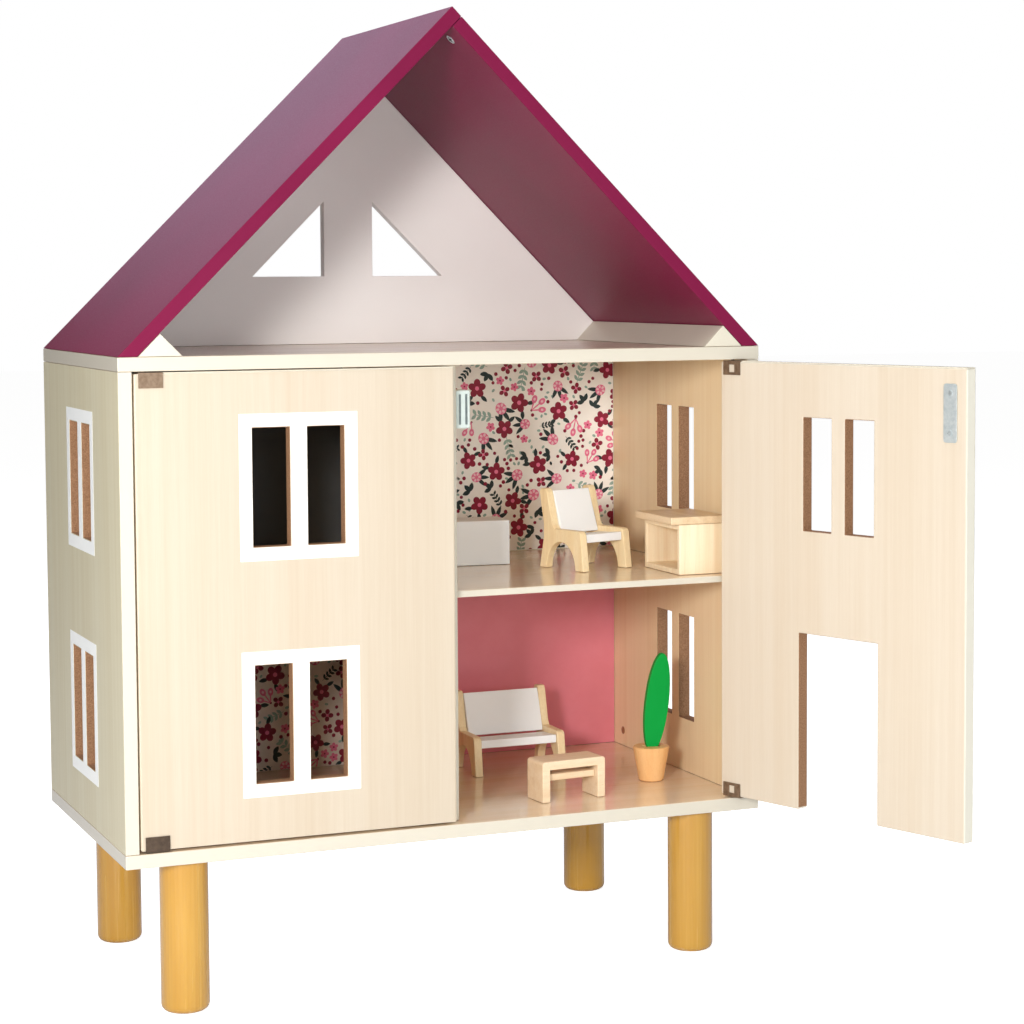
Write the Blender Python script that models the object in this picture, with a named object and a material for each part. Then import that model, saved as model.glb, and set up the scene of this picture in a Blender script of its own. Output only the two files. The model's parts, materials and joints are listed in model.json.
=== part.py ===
"""Wooden dollhouse on four round legs, with two hinged front doors and toy furniture.

Metres, +Z up.  The case is laid out from its front left corner on the floor: X runs
along the width, Y from the front to the back.  One parent empty then moves the whole
object so that the middle of its bounding box stands on the origin.
"""

import math

import bmesh
import bpy
from mathutils import Vector

# Case
WIDTH = 0.600
DEPTH = 0.304
BOARD = 0.012              # boards, walls, doors and roof panels
BACK_BOARD = 0.008
CASE_HEIGHT = 0.432        # underside of the bottom board to the top of the top board
GAP = 0.0003               # between two pieces that touch
EDGE = 0.0006              # softened edges of the boards
FINE_EDGE = 0.0008         # softened edges of the furniture
SMALL_ROUND = 20           # sides of a pin, bush or stud
LARGE_ROUND = 40           # sides of a leg or pot
SHELF = 0.006
SHELF_TOP = 0.206          # above the bottom board's upper face
SHELF_SETBACK = 0.019      # from the front of the case
GROOVE_DEPTH = 0.003
DIVIDER_SETBACK = 0.014

# Legs
LEG_HEIGHT = 0.133
LEG_RADIUS = 0.021
LEG_INSET_X = 0.057
LEG_INSET_Y = 0.029
LEG_FOOT_ROUND = 0.006
BOLT_RADIUS = 0.004
BOLT_IN_LEG = 0.035
BOLT_IN_BOARD = 0.0095
INSERT_RADIUS = 0.006
INSERT_LENGTH = 0.010

# Roof, at 45 degrees
ROOF_RISE = WIDTH / 2
ROOF_FOOT = BOARD * math.sqrt(2)
EAVE_STRIP = 0.038         # long side of the strip's section, flat on the attic floor
GABLE_WINDOW = 0.073       # both short sides of each triangular opening
GABLE_WINDOW_SILL = 0.0665
GABLE_WINDOW_GAP = 0.050
CAM_RADIUS = 0.005
CAM_DEPTH = 0.009
CAM_FROM_RIDGE = 0.013
RIDGE_BOLT_RADIUS = 0.0025
RIDGE_BOLT_DEPTH = 0.008
RIDGE_FIXINGS_Y = {"front": 0.030, "back": 0.232}

# Windows in the walls and doors: two panes side by side
PANE_WIDTH = 0.033
PANE_HEIGHT = 0.102
MULLION = 0.016
PANE_SILLS = (0.052, 0.256)          # above the bottom board's upper face
ENTRANCE_WIDTH = 0.092
ENTRANCE_HEIGHT = 0.161

# Doors
DOOR_SETBACK = 0.0014
DOOR_SIDE_GAP = 0.002
DOOR_CENTRE_GAP = 0.002
DOOR_END_GAP = 0.0022
DOOR_EDGE = 0.001
PIVOT_INSET = 0.009                  # pivot axis from the door's hinge edge
RIGHT_DOOR_OPEN = math.radians(109)

# Pivot clips and their bushes
CLIP_LENGTH = 0.021
CLIP_FROM_EDGE = 0.0035
CLIP_HEIGHT = 0.012
CLIP_STEEL = 0.0008
PIN_RADIUS = 0.0015
PIN_LENGTH = 0.006
PIN_CLEARANCE = 0.0001
BUSH_RADIUS = 0.003
BUSH_LENGTH = 0.007
CLIP_HOLE = 0.007

# Magnet catches and strike plates
CATCH_WIDTH = 0.014
CATCH_DEPTH = 0.020
CATCH_HEIGHT = 0.034
CATCH_FRONT = 0.0156
CATCH_BELOW_CEILING = 0.040          # to the middle of the catch
MAGNET = (0.006, 0.008, 0.024)
STRIKE_WIDTH = 0.014
STRIKE_HEIGHT = 0.050
STRIKE_STEEL = 0.0012
STRIKE_FROM_EDGE = 0.010

# Furniture
SEAT_SIDE = 0.008
SEAT_DEPTH = 0.064
SEAT_HEIGHT = 0.076
ARMCHAIR_WIDTH = 0.062
SOFA_WIDTH = 0.096
TABLE_SIZE = (0.066, 0.031, 0.038)
TABLE_BOARD = 0.008
DESK_SIZE = (0.049, 0.076, 0.047)
DESK_BOARD = 0.005
DESK_TOP = 0.007
DESK_OVERHANG = 0.009
LOW_CABINET_SIZE = (0.098, 0.040, 0.043)
POT_RADII = (0.012, 0.0175)
POT_HEIGHT = 0.033
LEAF_SIZE = (0.023, 0.008, 0.096)
LEAF_LEAN = 0.115
LEAF_IN_POT = 0.006

# Levels and planes that several pieces share
CASE_BOTTOM = LEG_HEIGHT
FLOOR = CASE_BOTTOM + BOARD
CEILING = CASE_BOTTOM + CASE_HEIGHT - BOARD
ATTIC = CASE_BOTTOM + CASE_HEIGHT
SHELF_LEVEL = FLOOR + SHELF_TOP
BACK_FACE = DEPTH - BACK_BOARD
DIVIDER_LEFT = (WIDTH - BOARD) / 2
DIVIDER_RIGHT = (WIDTH + BOARD) / 2
DOOR_BOTTOM = FLOOR + DOOR_END_GAP
DOOR_TOP = CEILING - DOOR_END_GAP
DOOR_WIDTH = (WIDTH - DOOR_CENTRE_GAP) / 2 - BOARD - DOOR_SIDE_GAP
PIVOT_X = BOARD + DOOR_SIDE_GAP + PIVOT_INSET
PIVOT_Y = DOOR_SETBACK + BOARD / 2
CATCH_LEVEL = CEILING - CATCH_BELOW_CEILING
SIDES = {"left": 1, "right": -1}     # sign of the way from a side wall to the middle


def clear_scene():
    for item in list(bpy.data.objects):
        bpy.data.objects.remove(item, do_unlink=True)


def make_material(name, colour, roughness, metallic=0.0):
    material = bpy.data.materials.new(name)
    material.use_nodes = True
    shader = material.node_tree.nodes["Principled BSDF"]
    shader.inputs["Base Color"].default_value = (*colour, 1.0)
    shader.inputs["Roughness"].default_value = roughness
    shader.inputs["Metallic"].default_value = metallic
    return material


def make_empty(name, location, parent=None, turn=0.0):
    empty = bpy.data.objects.new(name, None)
    bpy.context.collection.objects.link(empty)
    empty.parent = parent
    empty.location = location
    empty.rotation_euler = (0.0, 0.0, turn)
    return empty


def add_object(name, bm, material, parent, location=(0, 0, 0)):
    """Turn the bmesh into a named object under the given empty."""
    bmesh.ops.recalc_face_normals(bm, faces=bm.faces)
    mesh = bpy.data.meshes.new(name)
    bm.to_mesh(mesh)
    bm.free()
    if material is not None:
        mesh.materials.append(material)
    item = bpy.data.objects.new(name, mesh)
    bpy.context.collection.objects.link(item)
    item.parent = parent
    item.location = location
    return item


def box(name, low, high, material, parent):
    """A box between two corners, with its origin in its middle."""
    low, high = Vector(low), Vector(high)
    bm = bmesh.new()
    bmesh.ops.create_cube(bm, size=1.0)
    bmesh.ops.scale(bm, vec=high - low, verts=bm.verts)
    return add_object(name, bm, material, parent, (low + high) / 2)


def prism(name, outline, axis, start, end, material, parent):
    """A flat outline pushed from start to end along X or Y; the outline holds (other, Z)."""
    bm = bmesh.new()
    if axis == "Y":
        points = [(across, start, up) for across, up in outline]
        push = (0, end - start, 0)
    else:
        points = [(start, across, up) for across, up in outline]
        push = (end - start, 0, 0)
    face = bm.faces.new([bm.verts.new(point) for point in points])
    pushed = bmesh.ops.extrude_face_region(bm, geom=[face])
    moved = [part for part in pushed["geom"] if isinstance(part, bmesh.types.BMVert)]
    bmesh.ops.translate(bm, vec=push, verts=moved)
    return add_object(name, bm, material, parent)


def ring_of_vertices(bm, radius, height, segments):
    angles = [2 * math.pi * step / segments for step in range(segments)]
    return [bm.verts.new((radius * math.cos(a), radius * math.sin(a), height)) for a in angles]


def turned(name, profile, segments, material, parent, location):
    """A solid turned about the local Z axis; the profile runs from axis to axis as (r, z)."""
    bm = bmesh.new()
    rings = []
    for radius, height in profile:
        if radius == 0:
            rings.append([bm.verts.new((0, 0, height))])
        else:
            rings.append(ring_of_vertices(bm, radius, height, segments))
    for ring, above in zip(rings, rings[1:]):
        for step in range(segments):
            after = (step + 1) % segments
            corners = [ring[step % len(ring)], ring[after % len(ring)]]
            corners += [above[after % len(above)], above[step % len(above)]]
            bm.faces.new(list(dict.fromkeys(corners)))
    item = add_object(name, bm, material, parent, location)
    shade_round(item)
    return item


def rod(name, radius, length, material, parent, location):
    """A plain cylinder that stands on its location."""
    profile = [(0, 0), (radius, 0), (radius, length), (0, length)]
    return turned(name, profile, SMALL_ROUND, material, parent, location)


def tube(name, outer, inner, length, material, parent, location):
    """A ring of rectangular section that stands on its location."""
    bm = bmesh.new()
    rings = []
    for radius, height in ((inner, 0), (outer, 0), (outer, length), (inner, length)):
        rings.append(ring_of_vertices(bm, radius, height, SMALL_ROUND))
    for ring, after_ring in zip(rings, rings[1:] + rings[:1]):
        for step in range(SMALL_ROUND):
            after = (step + 1) % SMALL_ROUND
            bm.faces.new((ring[step], ring[after], after_ring[after], after_ring[step]))
    item = add_object(name, bm, material, parent, location)
    shade_round(item)
    return item


def shade_round(item):
    item.data.shade_smooth()
    item.data.set_sharp_from_angle(angle=math.radians(40))


def soften(item, width=EDGE, segments=2):
    bevel = item.modifiers.new("soft_edges", "BEVEL")
    bevel.width = width
    bevel.segments = segments
    bevel.limit_method = "ANGLE"
    bevel.angle_limit = math.radians(40)
    return item


def cut(item, cutter):
    """Take the cutter out of the item."""
    cutter.hide_render = True
    cutter.display_type = "WIRE"
    boolean = item.modifiers.new(cutter.name, "BOOLEAN")
    boolean.operation = "DIFFERENCE"
    boolean.object = cutter


def cut_box(item, name, low, high, parent):
    cut(item, box(name, low, high, None, parent))


def cut_hole(item, name, radius, length, parent, location):
    cut(item, rod(name, radius, length, None, parent, location))


def build_materials():
    return {
        "veneer": make_material("maple_veneer", (0.86, 0.72, 0.53), 0.45),
        "ivory": make_material("ivory_board", (0.93, 0.87, 0.72), 0.40),
        "plum": make_material("plum_paint", (0.24, 0.045, 0.11), 0.38),
        "grey": make_material("pale_grey_paint", (0.66, 0.60, 0.56), 0.50),
        "mustard": make_material("mustard_paint", (0.80, 0.43, 0.07), 0.42),
        "natural": make_material("natural_beech", (0.85, 0.66, 0.42), 0.50),
        "white": make_material("white_paint", (0.88, 0.87, 0.86), 0.40),
        "green": make_material("green_paint", (0.0, 0.33, 0.09), 0.42),
        "pot": make_material("terracotta_stain", (0.78, 0.47, 0.22), 0.50),
        "bronze": make_material("bronzed_steel", (0.25, 0.17, 0.13), 0.35, 0.9),
        "zinc": make_material("zinc_plated_steel", (0.62, 0.64, 0.66), 0.32, 1.0),
        "nylon": make_material("white_nylon", (0.84, 0.84, 0.82), 0.40),
        "ferrite": make_material("black_ferrite", (0.03, 0.03, 0.035), 0.45),
    }


def pane_boxes(middle, sill):
    """Low and high corners, across and up, of the two panes of one window."""
    half = MULLION / 2
    left = (middle - half - PANE_WIDTH, middle - half)
    right = (middle + half, middle + half + PANE_WIDTH)
    return [(low, sill, high, sill + PANE_HEIGHT) for low, high in (left, right)]


def build_boards(paint, house):
    """Bottom and top boards, with their blind holes for the door pivots and the legs."""
    boards = {
        "bottom": (CASE_BOTTOM, FLOOR, FLOOR - BUSH_LENGTH - GAP),
        "top": (CEILING, ATTIC, CEILING - GAP),
    }
    for level, (low, high, bush_floor) in boards.items():
        board = box(f"{level}_board", (0, 0, low), (WIDTH, DEPTH, high), paint["ivory"], house)
        soften(board)
        for side in SIDES:
            x = pivot_x(side)
            cut_hole(board, f"{level}_{side}_bush_cutter", BUSH_RADIUS + GAP,
                     BUSH_LENGTH + 2 * GAP, house, (x, PIVOT_Y, bush_floor))
            tube(f"{side}_door_{level}_bush", BUSH_RADIUS, PIN_RADIUS + PIN_CLEARANCE,
                 BUSH_LENGTH, paint["nylon"], house, (x, PIVOT_Y, bush_floor + GAP))
        if level == "bottom":
            for corner, (x, y) in leg_places().items():
                cut_hole(board, f"{corner}_insert_cutter", INSERT_RADIUS + GAP,
                         INSERT_LENGTH + 2 * GAP, house, (x, y, CASE_BOTTOM - GAP))


def pivot_x(side):
    return PIVOT_X if side == "left" else WIDTH - PIVOT_X


def build_walls(paint, house):
    """Side walls with two windows each, and a groove for the shelf that stops at the back panel."""
    spans = {"left": (0, BOARD), "right": (WIDTH - BOARD, WIDTH)}
    for side, (low, high) in spans.items():
        bottom, top = FLOOR + GAP, CEILING - GAP
        wall = box(f"{side}_wall", (low, 0, bottom), (high, DEPTH, top), paint["veneer"], house)
        for storey, sill in enumerate(PANE_SILLS):
            for pane, (y0, z0, y1, z1) in enumerate(pane_boxes(DEPTH / 2, FLOOR + sill)):
                cut_box(wall, f"{side}_wall_cutter_{storey}{pane}",
                        (low - BOARD, y0, z0), (high + BOARD, y1, z1), house)
        soften(wall)
        inner = high - GROOVE_DEPTH if side == "left" else low - BOARD
        cut_box(wall, f"{side}_wall_groove_cutter", (inner, SHELF_SETBACK - GAP, groove_low()),
                (inner + GROOVE_DEPTH + BOARD, BACK_FACE, groove_high()), house)


def groove_low():
    return SHELF_LEVEL - SHELF - GAP


def groove_high():
    return SHELF_LEVEL + GAP


def build_inside(paint, house):
    """Back panel, centre divider and the two shelves that make the upper floor."""
    bottom, top = FLOOR + GAP, CEILING - GAP
    soften(box("back_panel", (BOARD + GAP, BACK_FACE, bottom),
               (WIDTH - BOARD - GAP, DEPTH, top), paint["veneer"], house))
    divider = box("centre_divider", (DIVIDER_LEFT, DIVIDER_SETBACK, bottom),
                  (DIVIDER_RIGHT, BACK_FACE - GAP, top), paint["veneer"], house)
    soften(divider)
    faces = {"left": DIVIDER_LEFT + GROOVE_DEPTH, "right": DIVIDER_RIGHT - GROOVE_DEPTH}
    for side, face in faces.items():
        outside = DIVIDER_LEFT - BOARD if side == "left" else DIVIDER_RIGHT + BOARD
        low, high = sorted((face, outside))
        cut_box(divider, f"{side}_divider_groove_cutter", (low, SHELF_SETBACK - GAP, groove_low()),
                (high, 2 * DEPTH, groove_high()), house)
        wall = BOARD - GROOVE_DEPTH if side == "left" else WIDTH - BOARD + GROOVE_DEPTH
        low, high = sorted((face, wall))
        shelf = box(f"{side}_shelf", (low + GAP, SHELF_SETBACK, SHELF_LEVEL - SHELF),
                    (high - GAP, BACK_FACE - GAP, SHELF_LEVEL), paint["veneer"], house)
        soften(shelf)


def leg_places():
    """Middle of each leg."""
    near, far = LEG_INSET_X, WIDTH - LEG_INSET_X
    front, back = LEG_INSET_Y, DEPTH - LEG_INSET_Y
    return {
        "front_left": (near, front),
        "front_right": (far, front),
        "back_left": (near, back),
        "back_right": (far, back),
    }


def leg_profile():
    """Half outline of a leg, with its foot rounded and a softened top."""
    top = LEG_HEIGHT - GAP
    profile = [(0, 0)]
    for step in range(5):
        angle = math.pi / 2 * step / 4
        out = LEG_RADIUS - LEG_FOOT_ROUND * (1 - math.sin(angle))
        profile.append((out, LEG_FOOT_ROUND * (1 - math.cos(angle))))
    profile += [(LEG_RADIUS, top - DOOR_EDGE), (LEG_RADIUS - DOOR_EDGE, top), (0, top)]
    return profile


def build_legs(paint, house):
    """Four screw-in legs, each with its stud and the threaded insert in the bottom board."""
    for corner, (x, y) in leg_places().items():
        leg = turned(f"{corner}_leg", leg_profile(), LARGE_ROUND, paint["mustard"], house, (x, y, 0))
        depth = BOLT_IN_LEG + GAP
        cut_hole(leg, f"{corner}_leg_cutter", BOLT_RADIUS + GAP, depth + GAP, house,
                 (x, y, LEG_HEIGHT - GAP - depth))
        end = 0.001
        length = BOLT_IN_LEG + BOLT_IN_BOARD
        stud = [(0, 0), (BOLT_RADIUS - end, 0), (BOLT_RADIUS, end), (BOLT_RADIUS, length - end),
                (BOLT_RADIUS - end, length), (0, length)]
        turned(f"{corner}_leg_stud", stud, SMALL_ROUND, paint["zinc"], house,
               (x, y, LEG_HEIGHT - BOLT_IN_LEG))
        tube(f"{corner}_leg_insert", INSERT_RADIUS, BOLT_RADIUS + GAP, INSERT_LENGTH,
             paint["zinc"], house, (x, y, CASE_BOTTOM))


def build_roof(paint, house):
    """Two panels at right angles, the right one butted under the left one's upper end."""
    thick = ROOF_FOOT / 2
    left = [(0, ATTIC + GAP), (ROOF_FOOT, ATTIC + GAP),
            (ROOF_RISE + thick, ATTIC + ROOF_RISE - thick), (ROOF_RISE, ATTIC + ROOF_RISE)]
    right = [(WIDTH, ATTIC + GAP), (WIDTH - ROOF_FOOT, ATTIC + GAP),
             (ROOF_RISE + GAP, ATTIC + ROOF_RISE - ROOF_FOOT - GAP),
             (ROOF_RISE + thick + GAP, ATTIC + ROOF_RISE - thick - GAP)]
    left_panel = prism("left_roof_panel", left, "Y", 0, DEPTH, paint["plum"], house)
    right_panel = prism("right_roof_panel", right, "Y", 0, DEPTH, paint["plum"], house)
    soften(left_panel)
    soften(right_panel)
    build_ridge_fixings(paint, house, left_panel, right_panel)
    build_gable(paint, house)
    build_eave_strips(paint, house)


def build_ridge_fixings(paint, house, left_panel, right_panel):
    """Cam locks in the right panel that pull bolts set in the left one."""
    inner_ridge = Vector((ROOF_RISE, 0, ATTIC + ROOF_RISE - ROOF_FOOT))
    down = Vector((1, 0, -1)).normalized()
    out = Vector((1, 0, 1)).normalized()
    along_panel = down.to_track_quat("Z", "Y").to_euler()
    into_panel = out.to_track_quat("Z", "Y").to_euler()
    reach = CAM_FROM_RIDGE - CAM_RADIUS - 2 * GAP
    for end, y in RIDGE_FIXINGS_Y.items():
        start = inner_ridge + out * BOARD / 2 - down * RIDGE_BOLT_DEPTH + Vector((0, y, 0))
        seat = inner_ridge + down * CAM_FROM_RIDGE + Vector((0, y, 0))
        bolt = rod(f"{end}_ridge_bolt", RIDGE_BOLT_RADIUS, RIDGE_BOLT_DEPTH + reach,
                   paint["zinc"], house, start)
        bore = rod(f"{end}_ridge_bolt_cutter", RIDGE_BOLT_RADIUS + GAP,
                   RIDGE_BOLT_DEPTH + CAM_FROM_RIDGE, None, house, start - down * GAP)
        cam = rod(f"{end}_ridge_cam", CAM_RADIUS, CAM_DEPTH, paint["zinc"], house, seat)
        pocket = rod(f"{end}_ridge_cam_cutter", CAM_RADIUS + GAP, CAM_DEPTH + 2 * GAP,
                     None, house, seat - out * GAP)
        bolt.rotation_euler = bore.rotation_euler = along_panel
        cam.rotation_euler = pocket.rotation_euler = into_panel
        cut(left_panel, bore)
        cut(right_panel, bore)
        cut(right_panel, pocket)


def build_gable(paint, house):
    """Back wall of the attic, with two triangular windows."""
    foot = ROOF_FOOT + 2 * GAP
    rise = ROOF_RISE - foot
    outline = [(foot, ATTIC + GAP), (WIDTH - foot, ATTIC + GAP), (WIDTH / 2, ATTIC + GAP + rise)]
    gable = prism("attic_gable", outline, "Y", DEPTH - BOARD, DEPTH, paint["grey"], house)
    sill = ATTIC + GABLE_WINDOW_SILL
    for side, sign in SIDES.items():
        upright = WIDTH / 2 - sign * GABLE_WINDOW_GAP / 2
        far = upright - sign * GABLE_WINDOW
        opening = [(upright, sill), (far, sill), (upright, sill + GABLE_WINDOW)]
        cut(gable, prism(f"{side}_gable_cutter", opening, "Y", DEPTH - 2 * BOARD,
                         DEPTH + BOARD, None, house))
    soften(gable)


def build_eave_strips(paint, house):
    """Three-sided strips that fix the roof panels to the attic floor."""
    for side, sign in SIDES.items():
        wall = 0 if side == "left" else WIDTH
        start = wall + sign * (ROOF_FOOT + 2 * GAP)
        end = start + sign * EAVE_STRIP
        top = ATTIC + GAP + EAVE_STRIP / 2
        outline = [(start, ATTIC + GAP), (end, ATTIC + GAP), ((start + end) / 2, top)]
        strip = prism(f"{side}_eave_strip", outline, "Y", 0, DEPTH - BOARD - GAP,
                      paint["ivory"], house)
        soften(strip)


def build_door(side, turn, paint, house):
    """One door with its pivot clips and strike plate, about an empty on its hinge axis."""
    sign = SIDES[side]
    hinge = make_empty(f"{side}_door_hinge", (pivot_x(side), PIVOT_Y, 0), house, turn)
    near, far = -sign * PIVOT_INSET, sign * (DOOR_WIDTH - PIVOT_INSET)
    middle = (near + far) / 2
    low, high = sorted((near, far))
    half = BOARD / 2
    door = box(f"{side}_door", (low, -half, DOOR_BOTTOM), (high, half, DOOR_TOP),
               paint["veneer"], hinge)
    for storey, sill in enumerate(PANE_SILLS):
        if side == "right" and storey == 0:
            cut_box(door, "entrance_cutter",
                    (middle - ENTRANCE_WIDTH / 2, -BOARD, FLOOR - BOARD),
                    (middle + ENTRANCE_WIDTH / 2, BOARD, DOOR_BOTTOM + ENTRANCE_HEIGHT), hinge)
            continue
        for pane, (x0, z0, x1, z1) in enumerate(pane_boxes(middle, FLOOR + sill)):
            cut_box(door, f"{side}_door_cutter_{storey}{pane}",
                    (x0, -BOARD, z0), (x1, BOARD, z1), hinge)
    soften(door, DOOR_EDGE)
    build_clips(side, sign, near, paint, hinge)
    edge = far - sign * STRIKE_FROM_EDGE
    build_strike_plate(side, sorted((edge, edge - sign * STRIKE_WIDTH)), paint, hinge)


def build_clips(side, sign, near, paint, hinge):
    """Steel channels over the door's corners, with the pins that the door turns on."""
    x0, x1 = sorted((near + sign * CLIP_FROM_EDGE, near + sign * (CLIP_FROM_EDGE + CLIP_LENGTH)))
    inner = BOARD / 2 + GAP
    outer = inner + CLIP_STEEL
    for level, end, up in (("bottom", DOOR_BOTTOM, -1), ("top", DOOR_TOP, 1)):
        bridge = end + up * GAP
        crown = bridge + up * CLIP_STEEL
        rim = end - up * CLIP_HEIGHT
        section = [(-outer, rim), (-outer, crown), (outer, crown), (outer, rim),
                   (inner, rim), (inner, bridge), (-inner, bridge), (-inner, rim)]
        clip = prism(f"{side}_door_{level}_clip", section, "X", x0, x1, paint["bronze"], hinge)
        hole_x = (x0 + x1) / 2
        hole_z = (rim + end) / 2
        half = CLIP_HOLE / 2
        cut_box(clip, f"{side}_{level}_clip_cutter", (hole_x - half, BOARD / 4, hole_z - half),
                (hole_x + half, BOARD, hole_z + half), hinge)
        overlap = CLIP_STEEL / 2
        pin_start = crown - up * overlap if up > 0 else crown - PIN_LENGTH
        pin = rod(f"{side}_{level}_pin_shape", PIN_RADIUS, PIN_LENGTH + overlap, None, hinge,
                  (0, 0, pin_start))
        join(clip, pin)


def join(item, other):
    """Make the other shape part of the item."""
    cut(item, other)
    item.modifiers[-1].operation = "UNION"


def build_strike_plate(side, span, paint, hinge):
    face = BOARD / 2 + GAP
    low = CATCH_LEVEL - STRIKE_HEIGHT / 2
    plate = box(f"{side}_strike_plate", (span[0], face, low),
                (span[1], face + STRIKE_STEEL, low + STRIKE_HEIGHT), paint["zinc"], hinge)
    soften(plate, STRIKE_STEEL / 3)


def build_catches(paint, house):
    """Magnet catches on both faces of the divider, behind the doors' strike plates."""
    faces = {"left": DIVIDER_LEFT - GAP, "right": DIVIDER_RIGHT + GAP}
    for side, sign in SIDES.items():
        x0, x1 = sorted((faces[side], faces[side] - sign * CATCH_WIDTH))
        low, high = CATCH_LEVEL - CATCH_HEIGHT / 2, CATCH_LEVEL + CATCH_HEIGHT / 2
        body = box(f"{side}_catch_body", (x0, CATCH_FRONT, low),
                   (x1, CATCH_FRONT + CATCH_DEPTH, high), paint["nylon"], house)
        soften(body)
        half = [size / 2 for size in MAGNET]
        middle = (x0 + x1) / 2
        cut_box(body, f"{side}_catch_cutter",
                (middle - half[0] - GAP, 0, CATCH_LEVEL - half[2] - GAP),
                (middle + half[0] + GAP, CATCH_FRONT + MAGNET[1] + 2 * GAP,
                 CATCH_LEVEL + half[2] + GAP), house)
        box(f"{side}_catch_magnet", (middle - half[0], CATCH_FRONT, CATCH_LEVEL - half[2]),
            (middle + half[0], CATCH_FRONT + MAGNET[1], CATCH_LEVEL + half[2]),
            paint["ferrite"], house)


def arc(centre, radii, start, end, steps):
    """Points on an ellipse between two angles in degrees."""
    angles = [math.radians(start + (end - start) * step / steps) for step in range(steps + 1)]
    return [(centre[0] + radii[0] * math.cos(a), centre[1] + radii[1] * math.sin(a)) for a in angles]


def seat_side_outline():
    """Side of a chair: splayed feet with an arch between them, an arm and a leaning back."""
    front, back, top = -SEAT_DEPTH / 2, SEAT_DEPTH / 2, SEAT_HEIGHT
    arch_middle, arch = 0.001, (0.021, 0.026)
    arm = 0.038
    outline = [(front, 0), (arch_middle - arch[0], 0)]
    outline += arc((arch_middle, 0), arch, 172, 8, 12)
    outline += [(arch_middle + arch[0], 0), (back, 0), (back - 0.006, 0.030)]
    outline += [(back - 0.006, 0.042), (back, top - 0.003), (back - 0.002, top)]
    outline += [(back - 0.009, top), (back - 0.011, top - 0.003)]
    outline += [(back - 0.019, arm + 0.004), (back - 0.022, arm)]
    outline += arc((front + 0.009, arm - 0.005), (0.005, 0.005), 90, 180, 4)
    return outline


def build_seat(name, width, place, turn, paint, house):
    """Armchair or sofa: two shaped sides, with a seat board and a back board between them."""
    frame = make_empty(f"{name}_place", place, house, turn)
    half = width / 2
    for side, low in (("left", -half), ("right", half - SEAT_SIDE)):
        panel = prism(f"{name}_{side}_side", seat_side_outline(), "X", low, low + SEAT_SIDE,
                      paint["natural"], frame)
        soften(panel, FINE_EDGE)
    inside = half - SEAT_SIDE - GAP
    seat = [(-0.0265, 0.0265), (0.004, 0.0255), (0.004, 0.0325), (-0.0265, 0.0345)]
    back = [(0.0075, 0.0335), (0.0125, 0.0325), (0.0265, 0.0725), (0.0215, 0.0740)]
    soften(prism(f"{name}_seat", seat, "X", -inside, inside, paint["white"], frame), FINE_EDGE)
    soften(prism(f"{name}_back", back, "X", -inside, inside, paint["white"], frame), FINE_EDGE)


def build_coffee_table(place, turn, paint, house):
    """A bent frame, two ends and a top, with a shelf between the ends."""
    frame = make_empty("coffee_table_place", place, house, turn)
    width, depth, height = TABLE_SIZE
    half, inner = width / 2, width / 2 - TABLE_BOARD
    corner = 0.003
    outline = [(-half, 0)]
    outline += arc((-half + corner, height - corner), (corner, corner), 180, 90, 4)
    outline += arc((half - corner, height - corner), (corner, corner), 90, 0, 4)
    outline += [(half, 0), (inner, 0), (inner, height - TABLE_BOARD)]
    outline += [(-inner, height - TABLE_BOARD), (-inner, 0)]
    soften(prism("coffee_table_frame", outline, "Y", -depth / 2, depth / 2,
                 paint["natural"], frame), FINE_EDGE)
    shelf = 0.006
    level = height - TABLE_BOARD - 0.011
    soften(box("coffee_table_shelf", (-inner + GAP, -depth / 2 + shelf, level),
               (inner - GAP, depth / 2 - 0.001, level + shelf), paint["natural"], frame))


def build_desk(place, paint, house):
    """A cabinet that is open towards the room, under a top that stands out over it."""
    frame = make_empty("desk_place", place, house)
    width, depth, height = DESK_SIZE
    x, y = width / 2, depth / 2
    cabinet = box("desk_cabinet", (-x, -y, 0), (x, y, height), paint["natural"], frame)
    cut_box(cabinet, "desk_cutter", (-2 * x, -y + DESK_BOARD, DESK_BOARD),
            (x - DESK_BOARD, y - DESK_BOARD, height - DESK_BOARD), frame)
    soften(cabinet, FINE_EDGE)
    soften(box("desk_top", (-x - DESK_OVERHANG, -y - 0.001, height + GAP),
               (x, y + 0.001, height + GAP + DESK_TOP), paint["natural"], frame), FINE_EDGE)


def build_low_cabinet(place, turn, paint, house):
    frame = make_empty("low_cabinet_place", place, house, turn)
    x, y, height = LOW_CABINET_SIZE[0] / 2, LOW_CABINET_SIZE[1] / 2, LOW_CABINET_SIZE[2]
    soften(box("low_cabinet", (-x, -y, 0), (x, y, height), paint["white"], frame), FINE_EDGE)


def build_plant(place, turn, paint, house):
    """A turned pot with a slot, and a flat leaf that leans a little to the right in it."""
    frame = make_empty("plant_place", place, house, turn)
    edge = 0.001
    foot, rim = POT_RADII
    profile = [(0, 0), (foot - edge, 0), (foot, edge), (rim, POT_HEIGHT - edge),
               (rim - edge, POT_HEIGHT), (0, POT_HEIGHT)]
    pot = turned("plant_pot", profile, LARGE_ROUND, paint["pot"], frame, (0, 0, 0))
    x, y, height = LEAF_SIZE[0] / 2, LEAF_SIZE[1] / 2, LEAF_SIZE[2]
    slot = 0.0085
    cut_box(pot, "plant_slot_cutter", (-slot, -y - GAP, POT_HEIGHT - LEAF_IN_POT - GAP),
            (slot, y + GAP, 2 * POT_HEIGHT), frame)
    base = POT_HEIGHT - LEAF_IN_POT
    upright = arc((0, base + height / 2), (x, height / 2), -68, 248, 28)
    outline = [(across + LEAF_LEAN * (up - base), up) for across, up in upright]
    soften(prism("plant_leaf", outline, "Y", -y, y, paint["green"], frame), FINE_EDGE)


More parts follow.
